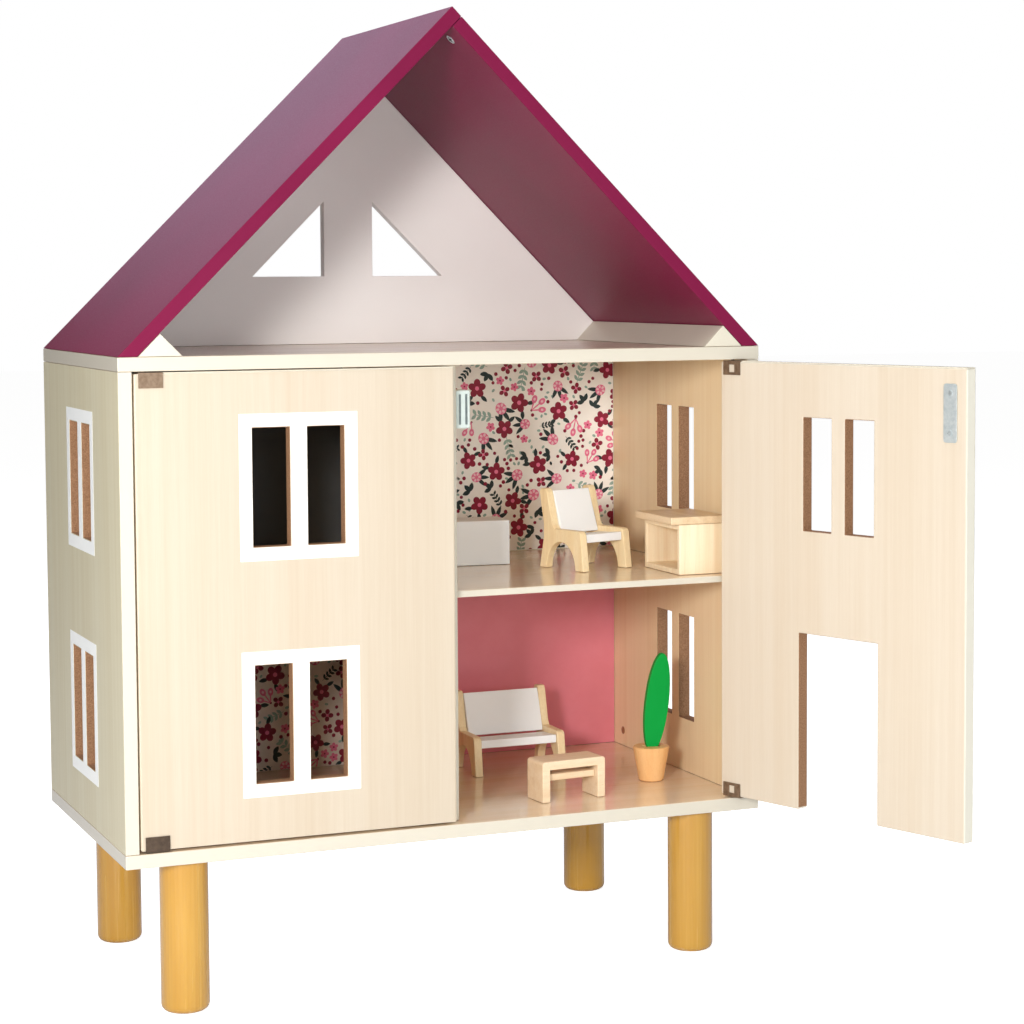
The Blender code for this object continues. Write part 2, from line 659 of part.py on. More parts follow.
def stand_on_origin(house):
    """Move the whole object so that its box stands on the origin, centred in X and Y."""
    bpy.context.view_layer.update()
    depsgraph = bpy.context.evaluated_depsgraph_get()
    corners = []
    for item in bpy.data.objects:
        if item.type == "MESH" and not item.hide_render:
            evaluated = item.evaluated_get(depsgraph)
            mesh = evaluated.to_mesh()
            corners += [evaluated.matrix_world @ vertex.co for vertex in mesh.vertices]
            evaluated.to_mesh_clear()
    for axis in (0, 1):
        values = [corner[axis] for corner in corners]
        house.location[axis] -= (min(values) + max(values)) / 2
    house.location[2] -= min(corner[2] for corner in corners)
    bpy.context.view_layer.update()


def main():
    clear_scene()
    paint = build_materials()
    house = make_empty("house_frame", (0, 0, 0))
    build_boards(paint, house)
    build_walls(paint, house)
    build_inside(paint, house)
    build_legs(paint, house)
    build_roof(paint, house)
    build_door("left", 0.0, paint, house)
    build_door("right", RIGHT_DOOR_OPEN, paint, house)
    build_catches(paint, house)
    upper, lower = SHELF_LEVEL + GAP, FLOOR + GAP
    build_seat("armchair", ARMCHAIR_WIDTH, (0.4843, 0.1347, upper), math.radians(17), paint, house)
    build_seat("sofa", SOFA_WIDTH, (0.436, 0.215, lower), 0.0, paint, house)
    build_coffee_table((0.433, 0.066, lower), math.radians(5), paint, house)
    build_desk((0.5605, 0.074, upper), paint, house)
    build_low_cabinet((0.380, 0.212, upper), math.radians(-5), paint, house)
    build_plant((0.539, 0.105, lower), math.radians(-12), paint, house)
    stand_on_origin(house)


main()
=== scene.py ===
"""Looks of the wooden dollhouse: finishes, prints, small hardware, light and camera."""

import json
import random
from math import cos, hypot, pi, radians, sin, sqrt

import bmesh
import bpy
from mathutils import Matrix, Vector


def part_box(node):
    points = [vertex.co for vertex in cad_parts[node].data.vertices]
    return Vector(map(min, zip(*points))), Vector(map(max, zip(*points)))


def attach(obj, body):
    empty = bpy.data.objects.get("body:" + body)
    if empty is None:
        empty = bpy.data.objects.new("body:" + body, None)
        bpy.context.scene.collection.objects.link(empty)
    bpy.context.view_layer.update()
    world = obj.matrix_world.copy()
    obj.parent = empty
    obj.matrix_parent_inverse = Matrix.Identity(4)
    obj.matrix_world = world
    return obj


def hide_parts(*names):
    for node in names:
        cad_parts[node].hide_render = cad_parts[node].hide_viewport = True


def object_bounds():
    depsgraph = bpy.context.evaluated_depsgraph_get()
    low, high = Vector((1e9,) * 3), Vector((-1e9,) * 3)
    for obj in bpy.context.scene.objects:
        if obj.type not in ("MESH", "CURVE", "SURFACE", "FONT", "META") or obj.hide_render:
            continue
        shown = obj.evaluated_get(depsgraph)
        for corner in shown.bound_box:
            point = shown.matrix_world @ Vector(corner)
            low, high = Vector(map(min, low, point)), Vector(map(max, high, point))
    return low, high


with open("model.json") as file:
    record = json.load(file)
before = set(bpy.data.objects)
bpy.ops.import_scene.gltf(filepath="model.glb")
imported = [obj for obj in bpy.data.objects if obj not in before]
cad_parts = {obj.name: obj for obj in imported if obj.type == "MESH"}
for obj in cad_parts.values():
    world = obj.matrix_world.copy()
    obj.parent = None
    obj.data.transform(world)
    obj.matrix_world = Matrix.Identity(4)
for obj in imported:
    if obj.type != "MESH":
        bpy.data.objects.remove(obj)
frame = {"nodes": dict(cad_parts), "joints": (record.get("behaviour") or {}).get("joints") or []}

CAD_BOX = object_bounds()
NODES = frame["nodes"]
MM = 0.001

# Camera: metres from the lower front left corner of the case, angles in radians, lens in millimetres
CAMERA_OFFSET = Vector((-0.4690, -2.0142, 0.4969))
CAMERA_YAW = 0.3931
CAMERA_PITCH = 0.0675
CAMERA_ROLL = -0.0058
LENS = 86.4
SENSOR = 36.0
SHIFT = (-0.0131, -0.0674)

# Sizes that the case, walls and doors share
PANE_WIDTH = 33 * MM
PANE_HEIGHT = 102 * MM
MULLION = 16 * MM
PANE_SILLS = (52 * MM, 256 * MM)
ENTRANCE_WIDTH = 92 * MM
ENTRANCE_HEIGHT = 161 * MM
RIGHT_DOOR_OPEN = radians(109)

# Printed frames: how thick and wide they are, how far they keep back from the cut-outs,
# and how high the doorway's frame begins
PRINT = 0.15 * MM
FRAME_MARGIN = 12 * MM
HOLE_EDGE = 0.8 * MM
DOORWAY_FOOT = 1.2 * MM

# Wallpaper and its inks, which sink in by BITE; shapes of one ink rise by steps that start again
PAPER = 0.12 * MM
BITE = 0.02 * MM
ROOM_GAP = 0.4 * MM
INK = 0.02 * MM
STAGGER_COUNT = 40
STAGGER_STEP = 0.0003 * MM

# Flower pattern, in mm: bare edge, spill past the sheet, and how far big kinds keep from their own
CUT_MARGIN = 0.5
SPILL = 3
BIG_KINDS = 3
SAME_KIND_APART = 27
SIZE_RANGE = (0.92, 1.08)

# Screws, strike plates and catches; CAM_TURN turns a cam from +Z to square under the right roof panel
SCREW_SIDES = 24
SCREW_RADIUS = 3.2 * MM
SCREW_LENGTH = 1.0 * MM
SCREW_SUNK = 0.6 * MM
SCREW_RECESS = 0.8 * MM
SCREW_FROM_END = 8 * MM
CAM_RECESS = 2.4 * MM
CAM_TURN = radians(-135)
PLATE_CORNER = 2.5 * MM
PLATE_EDGE = 0.3 * MM
HOUSING_CORNER = 1.6 * MM
HOUSING_EDGE = 0.8 * MM
POLE_PROUD = 0.8 * MM
POLE_THICKNESS = 1.8 * MM
POLE_PAST_MAGNET = 3 * MM
POLE_FROM_BACK = 2 * MM
POLE_CORNER = 0.5 * MM
POLE_EDGE = 0.2 * MM
CORNER_STEPS = 4

# Shape of a screw head, as shares of its radius
CROSS_ARM = 0.58
CROSS_HALF = 0.15
HEAD_CHAMFER = 0.18
HEAD_CROWN = 0.90
RECESS_TAPER = 0.90

# Screw caps in the side walls: their dome, and their place behind the front edge and above the floor
CAP_RADIUS = 4 * MM
CAP_RISE = 0.9 * MM
CAP_DEPTH = 275 * MM
CAP_LEVEL = 16 * MM
DOME_RINGS = 5
DOME_SIDES = 20

# Banding on the doors' top edges
TOP_BAND = 1.1 * MM
TOP_BAND_FROM_CLIP = 0.5 * MM
TOP_BAND_FROM_END = 0.4 * MM
TOP_BAND_SETBACK = 0.2 * MM
TOP_BAND_CORNER = 0.4 * MM
TOP_BAND_EDGE = 0.3 * MM

# Light: what the white studio gives as fill, the floor's glow and reach, and the lamps.
# Azimuth 0 is straight in front and minus is to the left. Angles are in degrees, power in watts.
SKY_FILL = 0.16
FLOOR_GLOW = 0.85
FLOOR_REACH = 15
WHITE_LIGHT = (1.0, 1.0, 1.0)
COOL_LIGHT = (0.90, 0.97, 1.0)
SKY_LIGHT = (0.72, 0.74, 1.0)
LAMPS = {
    # name: azimuth, elevation, distance, (width, height), power, colour
    "key": (-37, 10, 2.0, (0.3, 0.3), 26, WHITE_LIGHT),
    "near_front": (-30, 3, 0.9, (1.2, 0.5), 1.1, COOL_LIGHT),
    "front": (-3, 6, 2.2, (0.5, 0.5), 9.5, COOL_LIGHT),
    "right_fill": (25, 10, 2.2, (1.0, 1.0), 8, COOL_LIGHT),
    "high_front": (-20, 60, 2.2, (1.5, 1.5), 6, WHITE_LIGHT),
    "overhead": (0, 95, 2.3, (2.0, 2.0), 24, WHITE_LIGHT),
    "high_left": (-85, 58, 2.3, (1.0, 1.0), 6, WHITE_LIGHT),
    "left_corner": (-66, 2, 0.62, (0.15, 0.8), 0.75, WHITE_LIGHT),
    "backdrop": (165, 24, 3.0, (2.2, 1.4), 14, SKY_LIGHT),
}
SHINING_LAMPS = ("key", "high_front", "overhead", "backdrop")


def srgb(red, green, blue):
    """Linear colour from 8-bit display values."""
    linear = []
    for value in (red, green, blue):
        share = value / 255
        linear.append(share / 12.92 if share <= 0.04045 else ((share + 0.055) / 1.055) ** 2.4)
    return (*linear, 1.0)


# ---- shader building

class Paint:
    """A Principled material with short calls for the nodes that feed it."""

    def __init__(self, name, roughness, metallic=0.0, specular=0.5, coat=0.0, coat_roughness=0.1):
        self.material = bpy.data.materials.new(name)
        self.material.use_nodes = True
        self.tree = self.material.node_tree
        self.shader = self.tree.nodes["Principled BSDF"]
        settings = {"Roughness": roughness, "Metallic": metallic, "Specular IOR Level": specular,
                    "Coat Weight": coat, "Coat Roughness": coat_roughness}
        for socket, value in settings.items():
            self.shader.inputs[socket].default_value = value
        place = self.tree.nodes.new("ShaderNodeTexCoord")
        self.point, self.normal = place.outputs["Object"], place.outputs["Normal"]

    def feed(self, socket, value):
        if isinstance(value, bpy.types.NodeSocket):
            self.tree.links.new(value, socket)
        else:
            socket.default_value = value

    def math(self, operation, first, second=0.0, third=0.0):
        node = self.tree.nodes.new("ShaderNodeMath")
        node.operation = operation
        for socket, value in zip(node.inputs, (first, second, third)):
            self.feed(socket, value)
        return node.outputs[0]

    def vector(self, operation, first, second):
        node = self.tree.nodes.new("ShaderNodeVectorMath")
        node.operation = operation
        self.feed(node.inputs[0], first)
        self.feed(node.inputs[1], second)
        return node.outputs[0]

    def turned(self, vector, angle, centre=(0, 0, 0)):
        """The vector turned about the vertical axis through the centre."""
        node = self.tree.nodes.new("ShaderNodeVectorRotate")
        node.rotation_type = "Z_AXIS"
        self.feed(node.inputs["Vector"], vector)
        self.feed(node.inputs["Center"], centre)
        self.feed(node.inputs["Angle"], angle)
        return node.outputs[0]

    def split(self, vector):
        node = self.tree.nodes.new("ShaderNodeSeparateXYZ")
        self.feed(node.inputs[0], vector)
        return node.outputs

    def noise(self, vector, scale, detail, roughness, offset=(0, 0, 0)):
        """Noise from 0 to 1; scale is in cycles for each metre along each axis."""
        scaled = self.vector("MULTIPLY", vector, scale)
        moved = self.vector("ADD", scaled, offset)
        node = self.tree.nodes.new("ShaderNodeTexNoise")
        node.inputs["Scale"].default_value = 1.0
        node.inputs["Detail"].default_value = detail
        node.inputs["Roughness"].default_value = roughness
        self.feed(node.inputs["Vector"], moved)
        return node.outputs["Fac"]

    def ramp(self, value, low, high, start=0.0, end=1.0):
        """The value's range from low to high, stretched to start to end and held there."""
        node = self.tree.nodes.new("ShaderNodeMapRange")
        node.clamp = True
        for socket, number in zip(node.inputs, (value, low, high, start, end)):
            self.feed(socket, number)
        return node.outputs[0]

    def mix(self, factor, first, second):
        node = self.tree.nodes.new("ShaderNodeMix")
        node.data_type = "RGBA"
        node.clamp_factor = True
        self.feed(node.inputs["Factor"], factor)
        colours = [socket for socket in node.inputs if socket.type == "RGBA"]
        self.feed(colours[0], first)
        self.feed(colours[1], second)
        return next(socket for socket in node.outputs if socket.type == "RGBA")

    def colour(self, value):
        self.feed(self.shader.inputs["Base Color"], value)

    def roughness(self, value):
        self.feed(self.shader.inputs["Roughness"], value)

    def bump(self, height, distance):
        node = self.tree.nodes.new("ShaderNodeBump")
        node.inputs["Strength"].default_value = 1.0
        node.inputs["Distance"].default_value = distance
        self.feed(node.inputs["Height"], height)
        self.tree.links.new(node.outputs[0], self.shader.inputs["Normal"])


def stretched(along, across_scale, along_scale):
    """A noise scale that is drawn out along one axis."""
    return tuple(along_scale if axis == along else across_scale for axis in "XYZ")


def grain(paint, point, along, seed):
    """Wood figure along one axis: broad bands, streaks and fine fibres, each from 0 to 1."""
    offset = (seed * 3.7, seed * 5.3, seed * 2.9)
    bands = paint.noise(point, stretched(along, 34, 1.1), 3, 0.55, offset)
    streaks = paint.noise(point, stretched(along, 140, 1.8), 5, 0.68, offset)
    fibres = paint.noise(point, stretched(along, 1500, 26), 2, 0.6, offset)
    return bands, streaks, fibres


def wood_colour(paint, figure, pale, middle, dark):
    """The colour of a wood figure, from its pale ground to its dark streaks and fibres."""
    bands, streaks, fibres = figure
    colour = paint.mix(paint.ramp(bands, 0.30, 0.70), pale, middle)
    strength = paint.math("MULTIPLY", paint.ramp(streaks, 0.42, 0.80, 0.0, 0.60),
                          paint.ramp(bands, 0.38, 0.62, 0.55, 1.0))
    colour = paint.mix(strength, colour, dark)
    return paint.mix(paint.ramp(fibres, 0.35, 0.75, 0.0, 0.22), colour, dark)


# Veneers and woods are pale, middle and dark; paint films are colour, shade and light
# Painted light: the veneers after the first are copies of it, with painted shade for the outer walls and
# back, painted light for the right door and painted bounce light inside the rooms
VENEER = (srgb(207, 193, 174), srgb(202, 185, 163), srgb(191, 170, 144))
VENEER_PAINTED_LIT = (srgb(218, 205, 187), srgb(214, 198, 177), srgb(203, 183, 157))
VENEER_SHADED = (srgb(212, 204, 177), srgb(208, 198, 168), srgb(193, 178, 143))
VENEER_PAINTED_BOUNCE = (srgb(242, 219, 180), srgb(238, 211, 168), srgb(225, 192, 146))
FLOOR_VENEER = (srgb(236, 216, 190), srgb(231, 206, 174), srgb(212, 178, 140))
BEECH = (srgb(252, 232, 192), srgb(246, 220, 172), srgb(218, 178, 124))
ROSY_BEECH = (srgb(244, 222, 192), srgb(238, 212, 176), srgb(212, 176, 136))
DESK_BEECH = (srgb(238, 212, 176), srgb(228, 198, 158), srgb(198, 160, 116))
DESK_BIRCH = (srgb(251, 234, 203), srgb(247, 223, 186), srgb(226, 190, 144))
STAINED_WOOD = (srgb(250, 198, 138), srgb(244, 188, 124), srgb(222, 158, 96))
BANDING = srgb(210, 201, 184)
BANDING_WORN = srgb(196, 180, 154)
# Painted light: a lighter copy of the banding, for the doors' edges
DOOR_BANDING_PAINTED_LIT = srgb(234, 227, 211)
CORE = srgb(172, 128, 94)
CORE_DARK = srgb(132, 94, 64)
BARE_FOOT = srgb(214, 180, 132)
PLUM = (srgb(124, 18, 62), srgb(113, 14, 55), srgb(138, 28, 74))
WARM_GREY = (srgb(248, 242, 236), srgb(241, 234, 228), srgb(252, 248, 243))
IVORY = (BANDING, srgb(220, 211, 190), srgb(232, 226, 212))
MUSTARD = (srgb(195, 144, 48), srgb(187, 135, 40), srgb(214, 170, 78))
WHITE = (srgb(251, 251, 250), srgb(245, 244, 243), srgb(253, 253, 253))
LEAF_GREEN = (srgb(2, 156, 62), srgb(1, 147, 56), srgb(8, 166, 74))

# Surface texture: how deep it is, how rough wood is, and noise scales in cycles for each metre
LAMINATE_DEPTH = 0.04 * MM
WOOD_DEPTH = 0.05 * MM
WOOD_GLOSS = 0.48
BRUSHED_DEPTH = 0.02 * MM
MOULDED_DEPTH = 0.02 * MM
FIBRE_DEPTH = 0.01 * MM
ROLLER_DEPTH = 0.02 * MM
ROLLER_MARKS = (650, 650, 650)
GRAIN_UNDER_PAINT = (150, 150, 4)

# Boards: depth of the banding, where its rubbed edges begin and end, roughness of the bare core,
# and the finish of the floors; FOOT_WEAR is how high the legs' feet are rubbed
BAND = 1.6 * MM
RUBBED_FROM = 0.2 * MM
RUBBED_TO = 0.8 * MM
CORE_ROUGHNESS = 0.85
FLOOR_GLOSS = 0.17
ATTIC_GLOSS = 0.30
FLOOR_COAT = 0.5
FOOT_WEAR = 5 * MM


def rim_gap(paint, parts, low, high, across):
    """How far a point lies inside the board's outline."""
    nearest = None
    for index in range(3):
        if index == across:
            continue
        for gap in (paint.math("SUBTRACT", parts[index], low[index]),
                    paint.math("SUBTRACT", high[index], parts[index])):
            nearest = gap if nearest is None else paint.math("MINIMUM", nearest, gap)
    return nearest


def worn_banding(paint, point, below_face, banding):
    """Banding that is rubbed in patches along both of its long edges."""
    edge = paint.ramp(below_face, RUBBED_FROM, RUBBED_TO, 1.0, 0.0)
    patches = paint.ramp(paint.noise(point, (35, 35, 35), 3, 0.6), 0.45, 0.75, 0.0, 0.5)
    return paint.mix(paint.math("MULTIPLY", edge, patches), banding, BANDING_WORN)


def raw_core(paint, point):
    """Bare fibreboard, as in the cut-outs."""
    speck = paint.noise(point, (900, 900, 900), 3, 0.7)
    return paint.mix(paint.ramp(speck, 0.35, 0.65), CORE, CORE_DARK)


def board_finish(name, node, thickness, along, seed, door_turn=None, gloss=0.42, faces=VENEER, rim=BANDING,
                 inside=None, inward=1, coat=0.12):
    """A laminated board: grain on both faces, banding round the rim and raw core in the cut-outs.

    An open door takes its hinge, angle and closed box from door_turn. Walls can take a warmer copy of the
    veneer inside, which paints the bounce light in the rooms.
    """
    paint = Paint(name, roughness=gloss, coat=coat, coat_roughness=0.12)
    point, normal = paint.point, paint.normal
    if door_turn is None:
        low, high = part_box(node)
    else:
        hinge, angle, low, high = door_turn
        point = paint.turned(point, -angle, hinge)
        normal = paint.turned(normal, -angle)
    across = "XYZ".index(thickness)
    parts = paint.split(point)
    outward = paint.split(normal)[across]
    on_face = paint.ramp(paint.math("ABSOLUTE", outward), 0.80, 0.90)
    on_rim = paint.ramp(rim_gap(paint, parts, low, high, across), BAND, BAND * 1.1, 1.0, 0.0)
    figure = grain(paint, point, along, seed)
    face = wood_colour(paint, figure, *faces)
    # Painted bounce light: faces turned into the rooms take the warmer copy of the veneer
    if inside:
        turned_in = paint.math("GREATER_THAN", paint.math("MULTIPLY", outward, inward), 0.0)
        face = paint.mix(turned_in, face, wood_colour(paint, figure, *inside))
    below_face = paint.math("MINIMUM", paint.math("SUBTRACT", parts[across], low[across]),
                            paint.math("SUBTRACT", high[across], parts[across]))
    edges = paint.mix(on_rim, raw_core(paint, point), worn_banding(paint, point, below_face, rim))
    paint.colour(paint.mix(on_face, edges, face))
    sheen = paint.math("MULTIPLY_ADD", paint.ramp(figure[1], 0.3, 0.8, -0.05, 0.08), on_face, gloss)
    bare = paint.math("SUBTRACT", CORE_ROUGHNESS, paint.math("ADD", on_face, on_rim))
    paint.roughness(paint.math("MAXIMUM", sheen, bare))
    relief = paint.math("ADD", figure[2], paint.math("MULTIPLY", figure[1], 0.8))
    paint.bump(paint.math("MULTIPLY", relief, on_face), LAMINATE_DEPTH)
    return paint.material


def coloured_board(name, tones, gloss, seed, specular=0.5, coat=0.15, turned=False):
    """Paint over wood with a slow tone drift and roller texture.

    Turned legs show upright grain through the paint, and a foot that is rubbed back to the wood.
    """
    colour, shade, light = tones
    coat_roughness = 0.14 if turned else 0.22
    texture_scale = GRAIN_UNDER_PAINT if turned else ROLLER_MARKS
    texture_strength = 0.5 if turned else 0.14
    paint = Paint(name, roughness=gloss, specular=specular, coat=coat, coat_roughness=coat_roughness)
    point = paint.point
    drift = paint.noise(point, (7, 7, 7), 3, 0.5, (seed, seed, seed))
    texture = paint.noise(point, texture_scale, 3, 0.6, (seed, 0, 0))
    tone = paint.mix(paint.ramp(drift, 0.3, 0.7), colour, shade)
    tone = paint.mix(paint.ramp(texture, 0.45, 0.8, 0.0, texture_strength), tone, light)
    if turned:
        low_down = paint.ramp(paint.split(point)["Z"], 0.0, FOOT_WEAR, 1.0, 0.0)
        chips = paint.ramp(paint.noise(point, (240, 240, 160), 4, 0.7), 0.50, 0.62)
        tone = paint.mix(paint.math("MULTIPLY", low_down, chips), tone, BARE_FOOT)
    paint.colour(tone)
    paint.roughness(paint.ramp(texture, 0.2, 0.8, gloss - 0.05, gloss + 0.07))
    paint.bump(texture, ROLLER_DEPTH)
    return paint.material


def solid_wood(name, along, seed, pale, middle, dark):
    """Sanded solid wood with streaks along the grain and short dark flecks."""
    paint = Paint(name, roughness=WOOD_GLOSS, coat=0.08, coat_roughness=0.3)
    point = paint.point
    figure = grain(paint, point, along, seed)
    bands = paint.noise(point, stretched(along, 120, 5), 3, 0.6, (seed, seed, 0))
    colour = wood_colour(paint, (bands, figure[1], figure[2]), pale, middle, dark)
    flecks = paint.noise(point, stretched(along, 1900, 330), 1, 0.5, (0, seed, seed))
    colour = paint.mix(paint.ramp(flecks, 0.66, 0.74, 0.0, 0.55), colour, dark)
    paint.colour(colour)
    paint.roughness(paint.ramp(figure[1], 0.3, 0.8, WOOD_GLOSS - 0.06, WOOD_GLOSS + 0.08))
    paint.bump(figure[2], WOOD_DEPTH)
    return paint.material


def metal(name, colour, shade, roughness, metallic, brushed_along="Z"):
    """Brushed metal with faint blotches."""
    paint = Paint(name, roughness=roughness, metallic=metallic)
    point = paint.point
    brushed = paint.noise(point, stretched(brushed_along, 3000, 120), 3, 0.6)
    blotches = paint.noise(point, (260, 260, 260), 4, 0.6)
    tone = paint.mix(paint.ramp(blotches, 0.35, 0.7), colour, shade)
    paint.colour(tone)
    paint.roughness(paint.ramp(brushed, 0.3, 0.7, roughness - 0.08, roughness + 0.10))
    paint.bump(brushed, BRUSHED_DEPTH)
    return paint.material


def moulded(name, colour, shade, roughness):
    """Moulded plastic or ferrite with a fine texture."""
    paint = Paint(name, roughness=roughness)
    point = paint.point
    cloud = paint.noise(point, (140, 140, 140), 3, 0.5)
    spark = paint.noise(point, (2600, 2600, 2600), 2, 0.5)
    paint.colour(paint.mix(paint.ramp(cloud, 0.35, 0.7), colour, shade))
    paint.roughness(paint.ramp(spark, 0.3, 0.7, roughness - 0.05, roughness + 0.06))
    paint.bump(spark, MOULDED_DEPTH)
    return paint.material


def paper(name, colour, shade, gloss=0.42):
    """Printed decor paper with a faint fibre."""
    paint = Paint(name, roughness=gloss, coat=0.05, coat_roughness=0.3)
    point = paint.point
    cloud = paint.noise(point, (22, 22, 22), 4, 0.6)
    fibre = paint.noise(point, (1400, 1400, 700), 3, 0.6)
    tone = paint.mix(paint.ramp(cloud, 0.3, 0.7), colour, shade)
    paint.colour(paint.mix(paint.ramp(fibre, 0.4, 0.8, 0.0, 0.25), tone, shade))
    paint.roughness(paint.ramp(fibre, 0.3, 0.8, gloss - 0.04, gloss + 0.06))
    paint.bump(fibre, FIBRE_DEPTH)
    return paint.material


def wear(node, material):
    """Give a CAD node one material in every slot."""
    item = NODES[node]
    if not item.material_slots:
        item.data.materials.append(material)
    for slot in item.material_slots:
        slot.material = material


# ---- meshes

def linked(name, data):
    """A new object in the scene."""
    item = bpy.data.objects.new(name, data)
    bpy.context.scene.collection.objects.link(item)
    return item


def add_piece(name, bm, material, body, matrix=None):
    """A visual piece that rides on a body; the slot says what it is made of."""
    bmesh.ops.recalc_face_normals(bm, faces=bm.faces)
    mesh = bpy.data.meshes.new(name)
    bm.to_mesh(mesh)
    bm.free()
    mesh.materials.append(material)
    if matrix is not None:
        mesh.transform(matrix)
    piece = linked(name, mesh)
    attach(piece, body)
    return piece


def pierced_sheet(across, up, open_cells, thickness):
    """A flat sheet in X and Z with some of its grid cells left open; it lies from Y 0 to -thickness."""
    bm = bmesh.new()
    corners = {}
    for i, x in enumerate(across):
        for j, z in enumerate(up):
            corners[i, j] = bm.verts.new((x, 0, z))
    faces = []
    for i in range(len(across) - 1):
        for j in range(len(up) - 1):
            if (i, j) not in open_cells:
                ring = [corners[i, j], corners[i + 1, j], corners[i + 1, j + 1], corners[i, j + 1]]
                faces.append(bm.faces.new(ring))
    loose = [vertex for vertex in bm.verts if not vertex.link_faces]
    bmesh.ops.delete(bm, geom=loose, context="VERTS")
    pushed = bmesh.ops.extrude_face_region(bm, geom=faces)
    moved = [part for part in pushed["geom"] if isinstance(part, bmesh.types.BMVert)]
    bmesh.ops.translate(bm, vec=(0, -thickness, 0), verts=moved)
    return bm


def convex_prism(bm, outline, low, high):
    """A convex outline in X and Z, as a closed prism between two levels towards -Y."""
    near = [bm.verts.new((x, -high, z)) for x, z in outline]
    far = [bm.verts.new((x, -low, z)) for x, z in outline]
    bm.faces.new(near)
    bm.faces.new(list(reversed(far)))
    for step in range(len(outline)):
        after = (step + 1) % len(outline)
        bm.faces.new((near[after], near[step], far[step], far[after]))


# ---- case and doors

def floor_finish(node, seed, gloss=FLOOR_GLOSS):
    finish = board_finish(f"{node}_laminate", node, "Z", "X", seed, gloss=gloss, faces=FLOOR_VENEER,
                          coat=FLOOR_COAT)
    wear(node, finish)


def laminates():
    """The boards of the case and both doors."""
    floor_finish("bottom_board", 1)
    floor_finish("top_board", 2, ATTIC_GLOSS)
    # Painted light: outer wall faces and the back panel wear the shaded copy of the veneer; faces inside
    # the rooms and the divider wear the copy with painted bounce light
    for side, seed, inward in (("left", 3, 1), ("right", 4, -1)):
        wall = board_finish(f"{side}_wall_laminate", f"{side}_wall", "X", "Z", seed, faces=VENEER_SHADED,
                            inside=VENEER_PAINTED_BOUNCE, inward=inward)
        wear(f"{side}_wall", wall)
        floor_finish(f"{side}_shelf", seed + 4)
    divider = board_finish("divider_laminate", "centre_divider", "X", "Z", 5, faces=VENEER_PAINTED_BOUNCE)
    wear("centre_divider", divider)
    wear("back_panel", board_finish("back_panel_laminate", "back_panel", "Y", "Z", 6, faces=VENEER_SHADED))
    # Painted light: both doors' edges wear the lighter copy of the banding
    wear("left_door", board_finish("left_door_laminate", "left_door", "Y", "Z", 11, rim=DOOR_BANDING_PAINTED_LIT))
    # Painted light: the right door wears the lighter copy of the veneer
    right_door = board_finish("right_door_laminate", "right_door", "Y", "Z", 12, rim=DOOR_BANDING_PAINTED_LIT,
                              faces=VENEER_PAINTED_LIT, door_turn=right_door_turn())
    wear("right_door", right_door)


def house_paints():
    """The painted roof, gable, eave strips and legs."""
    plum = coloured_board("plum_paint_film", PLUM, 0.40, 3, specular=0.22, coat=0.04)
    wear("left_roof_panel", plum)
    wear("right_roof_panel", plum)
    wear("attic_gable", coloured_board("grey_paint_film", WARM_GREY, 0.45, 5))
    ivory = coloured_board("ivory_paint_film", IVORY, 0.4, 7)
    for side in ("left", "right"):
        wear(f"{side}_eave_strip", ivory)
    mustard = coloured_board("mustard_paint_film", MUSTARD, 0.24, 9, coat=1.0, turned=True)
    for corner in ("front_left", "front_right", "back_left", "back_right"):
        wear(f"{corner}_leg", mustard)


def right_door_turn():
    """The right door's hinge, its angle as modelled, and its low and high corners when it is closed."""
    joints = {joint["name"]: joint for joint in frame["joints"]}
    hinge = Vector(joints["right_door_hinge"]["pos_m"])
    low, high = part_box("left_door")
    inset = Vector(joints["left_door_hinge"]["pos_m"]).x - low.x
    closed_high = Vector((hinge.x + inset, high.y, high.z))
    closed_low = Vector((closed_high.x - (high.x - low.x), low.y, low.z))
    return hinge, RIGHT_DOOR_OPEN, closed_low, closed_high


def furniture_finishes():
    for seat in ("armchair", "sofa"):
        for side, seed in (("left", 21), ("right", 22)):
            wear(f"{seat}_{side}_side", solid_wood(f"{seat}_{side}_beech", "Z", seed, *BEECH))
    white = coloured_board("white_paint_film", WHITE, 0.4, 13)
    for node in ("armchair_seat", "armchair_back", "sofa_seat", "sofa_back", "low_cabinet"):
        wear(node, white)
    wear("coffee_table_frame", solid_wood("coffee_table_beech", "X", 25, *ROSY_BEECH))
    wear("coffee_table_shelf", solid_wood("coffee_table_shelf_beech", "X", 26, *ROSY_BEECH))
    wear("desk_top", solid_wood("desk_top_beech", "Y", 27, *DESK_BEECH))
    wear("desk_cabinet", solid_wood("desk_birch", "Z", 28, *DESK_BIRCH))
    wear("plant_leaf", coloured_board("green_paint_film", LEAF_GREEN, 0.45, 17, specular=0.15, coat=0.0))
    wear("plant_pot", solid_wood("pot_stained_wood", "Z", 29, *STAINED_WOOD))


# Painted shade: one bronzed steel, with darker copies for clips that look darker in the light; the left
# door's bottom clip, which mirrors the dark floor, is darkest
CLIP_TONES = {
    "plain": (srgb(166, 141, 118), srgb(140, 115, 93)),
    "painted_half_shade": (srgb(140, 117, 96), srgb(114, 92, 74)),
    "painted_shade": (srgb(96, 79, 65), srgb(76, 61, 50)),
}
CLIP_PAINTED_SHADE = {
    "left_door_top_clip": "plain",
    "left_door_bottom_clip": "painted_shade",
    "right_door_top_clip": "painted_half_shade",
    "right_door_bottom_clip": "painted_half_shade",
}


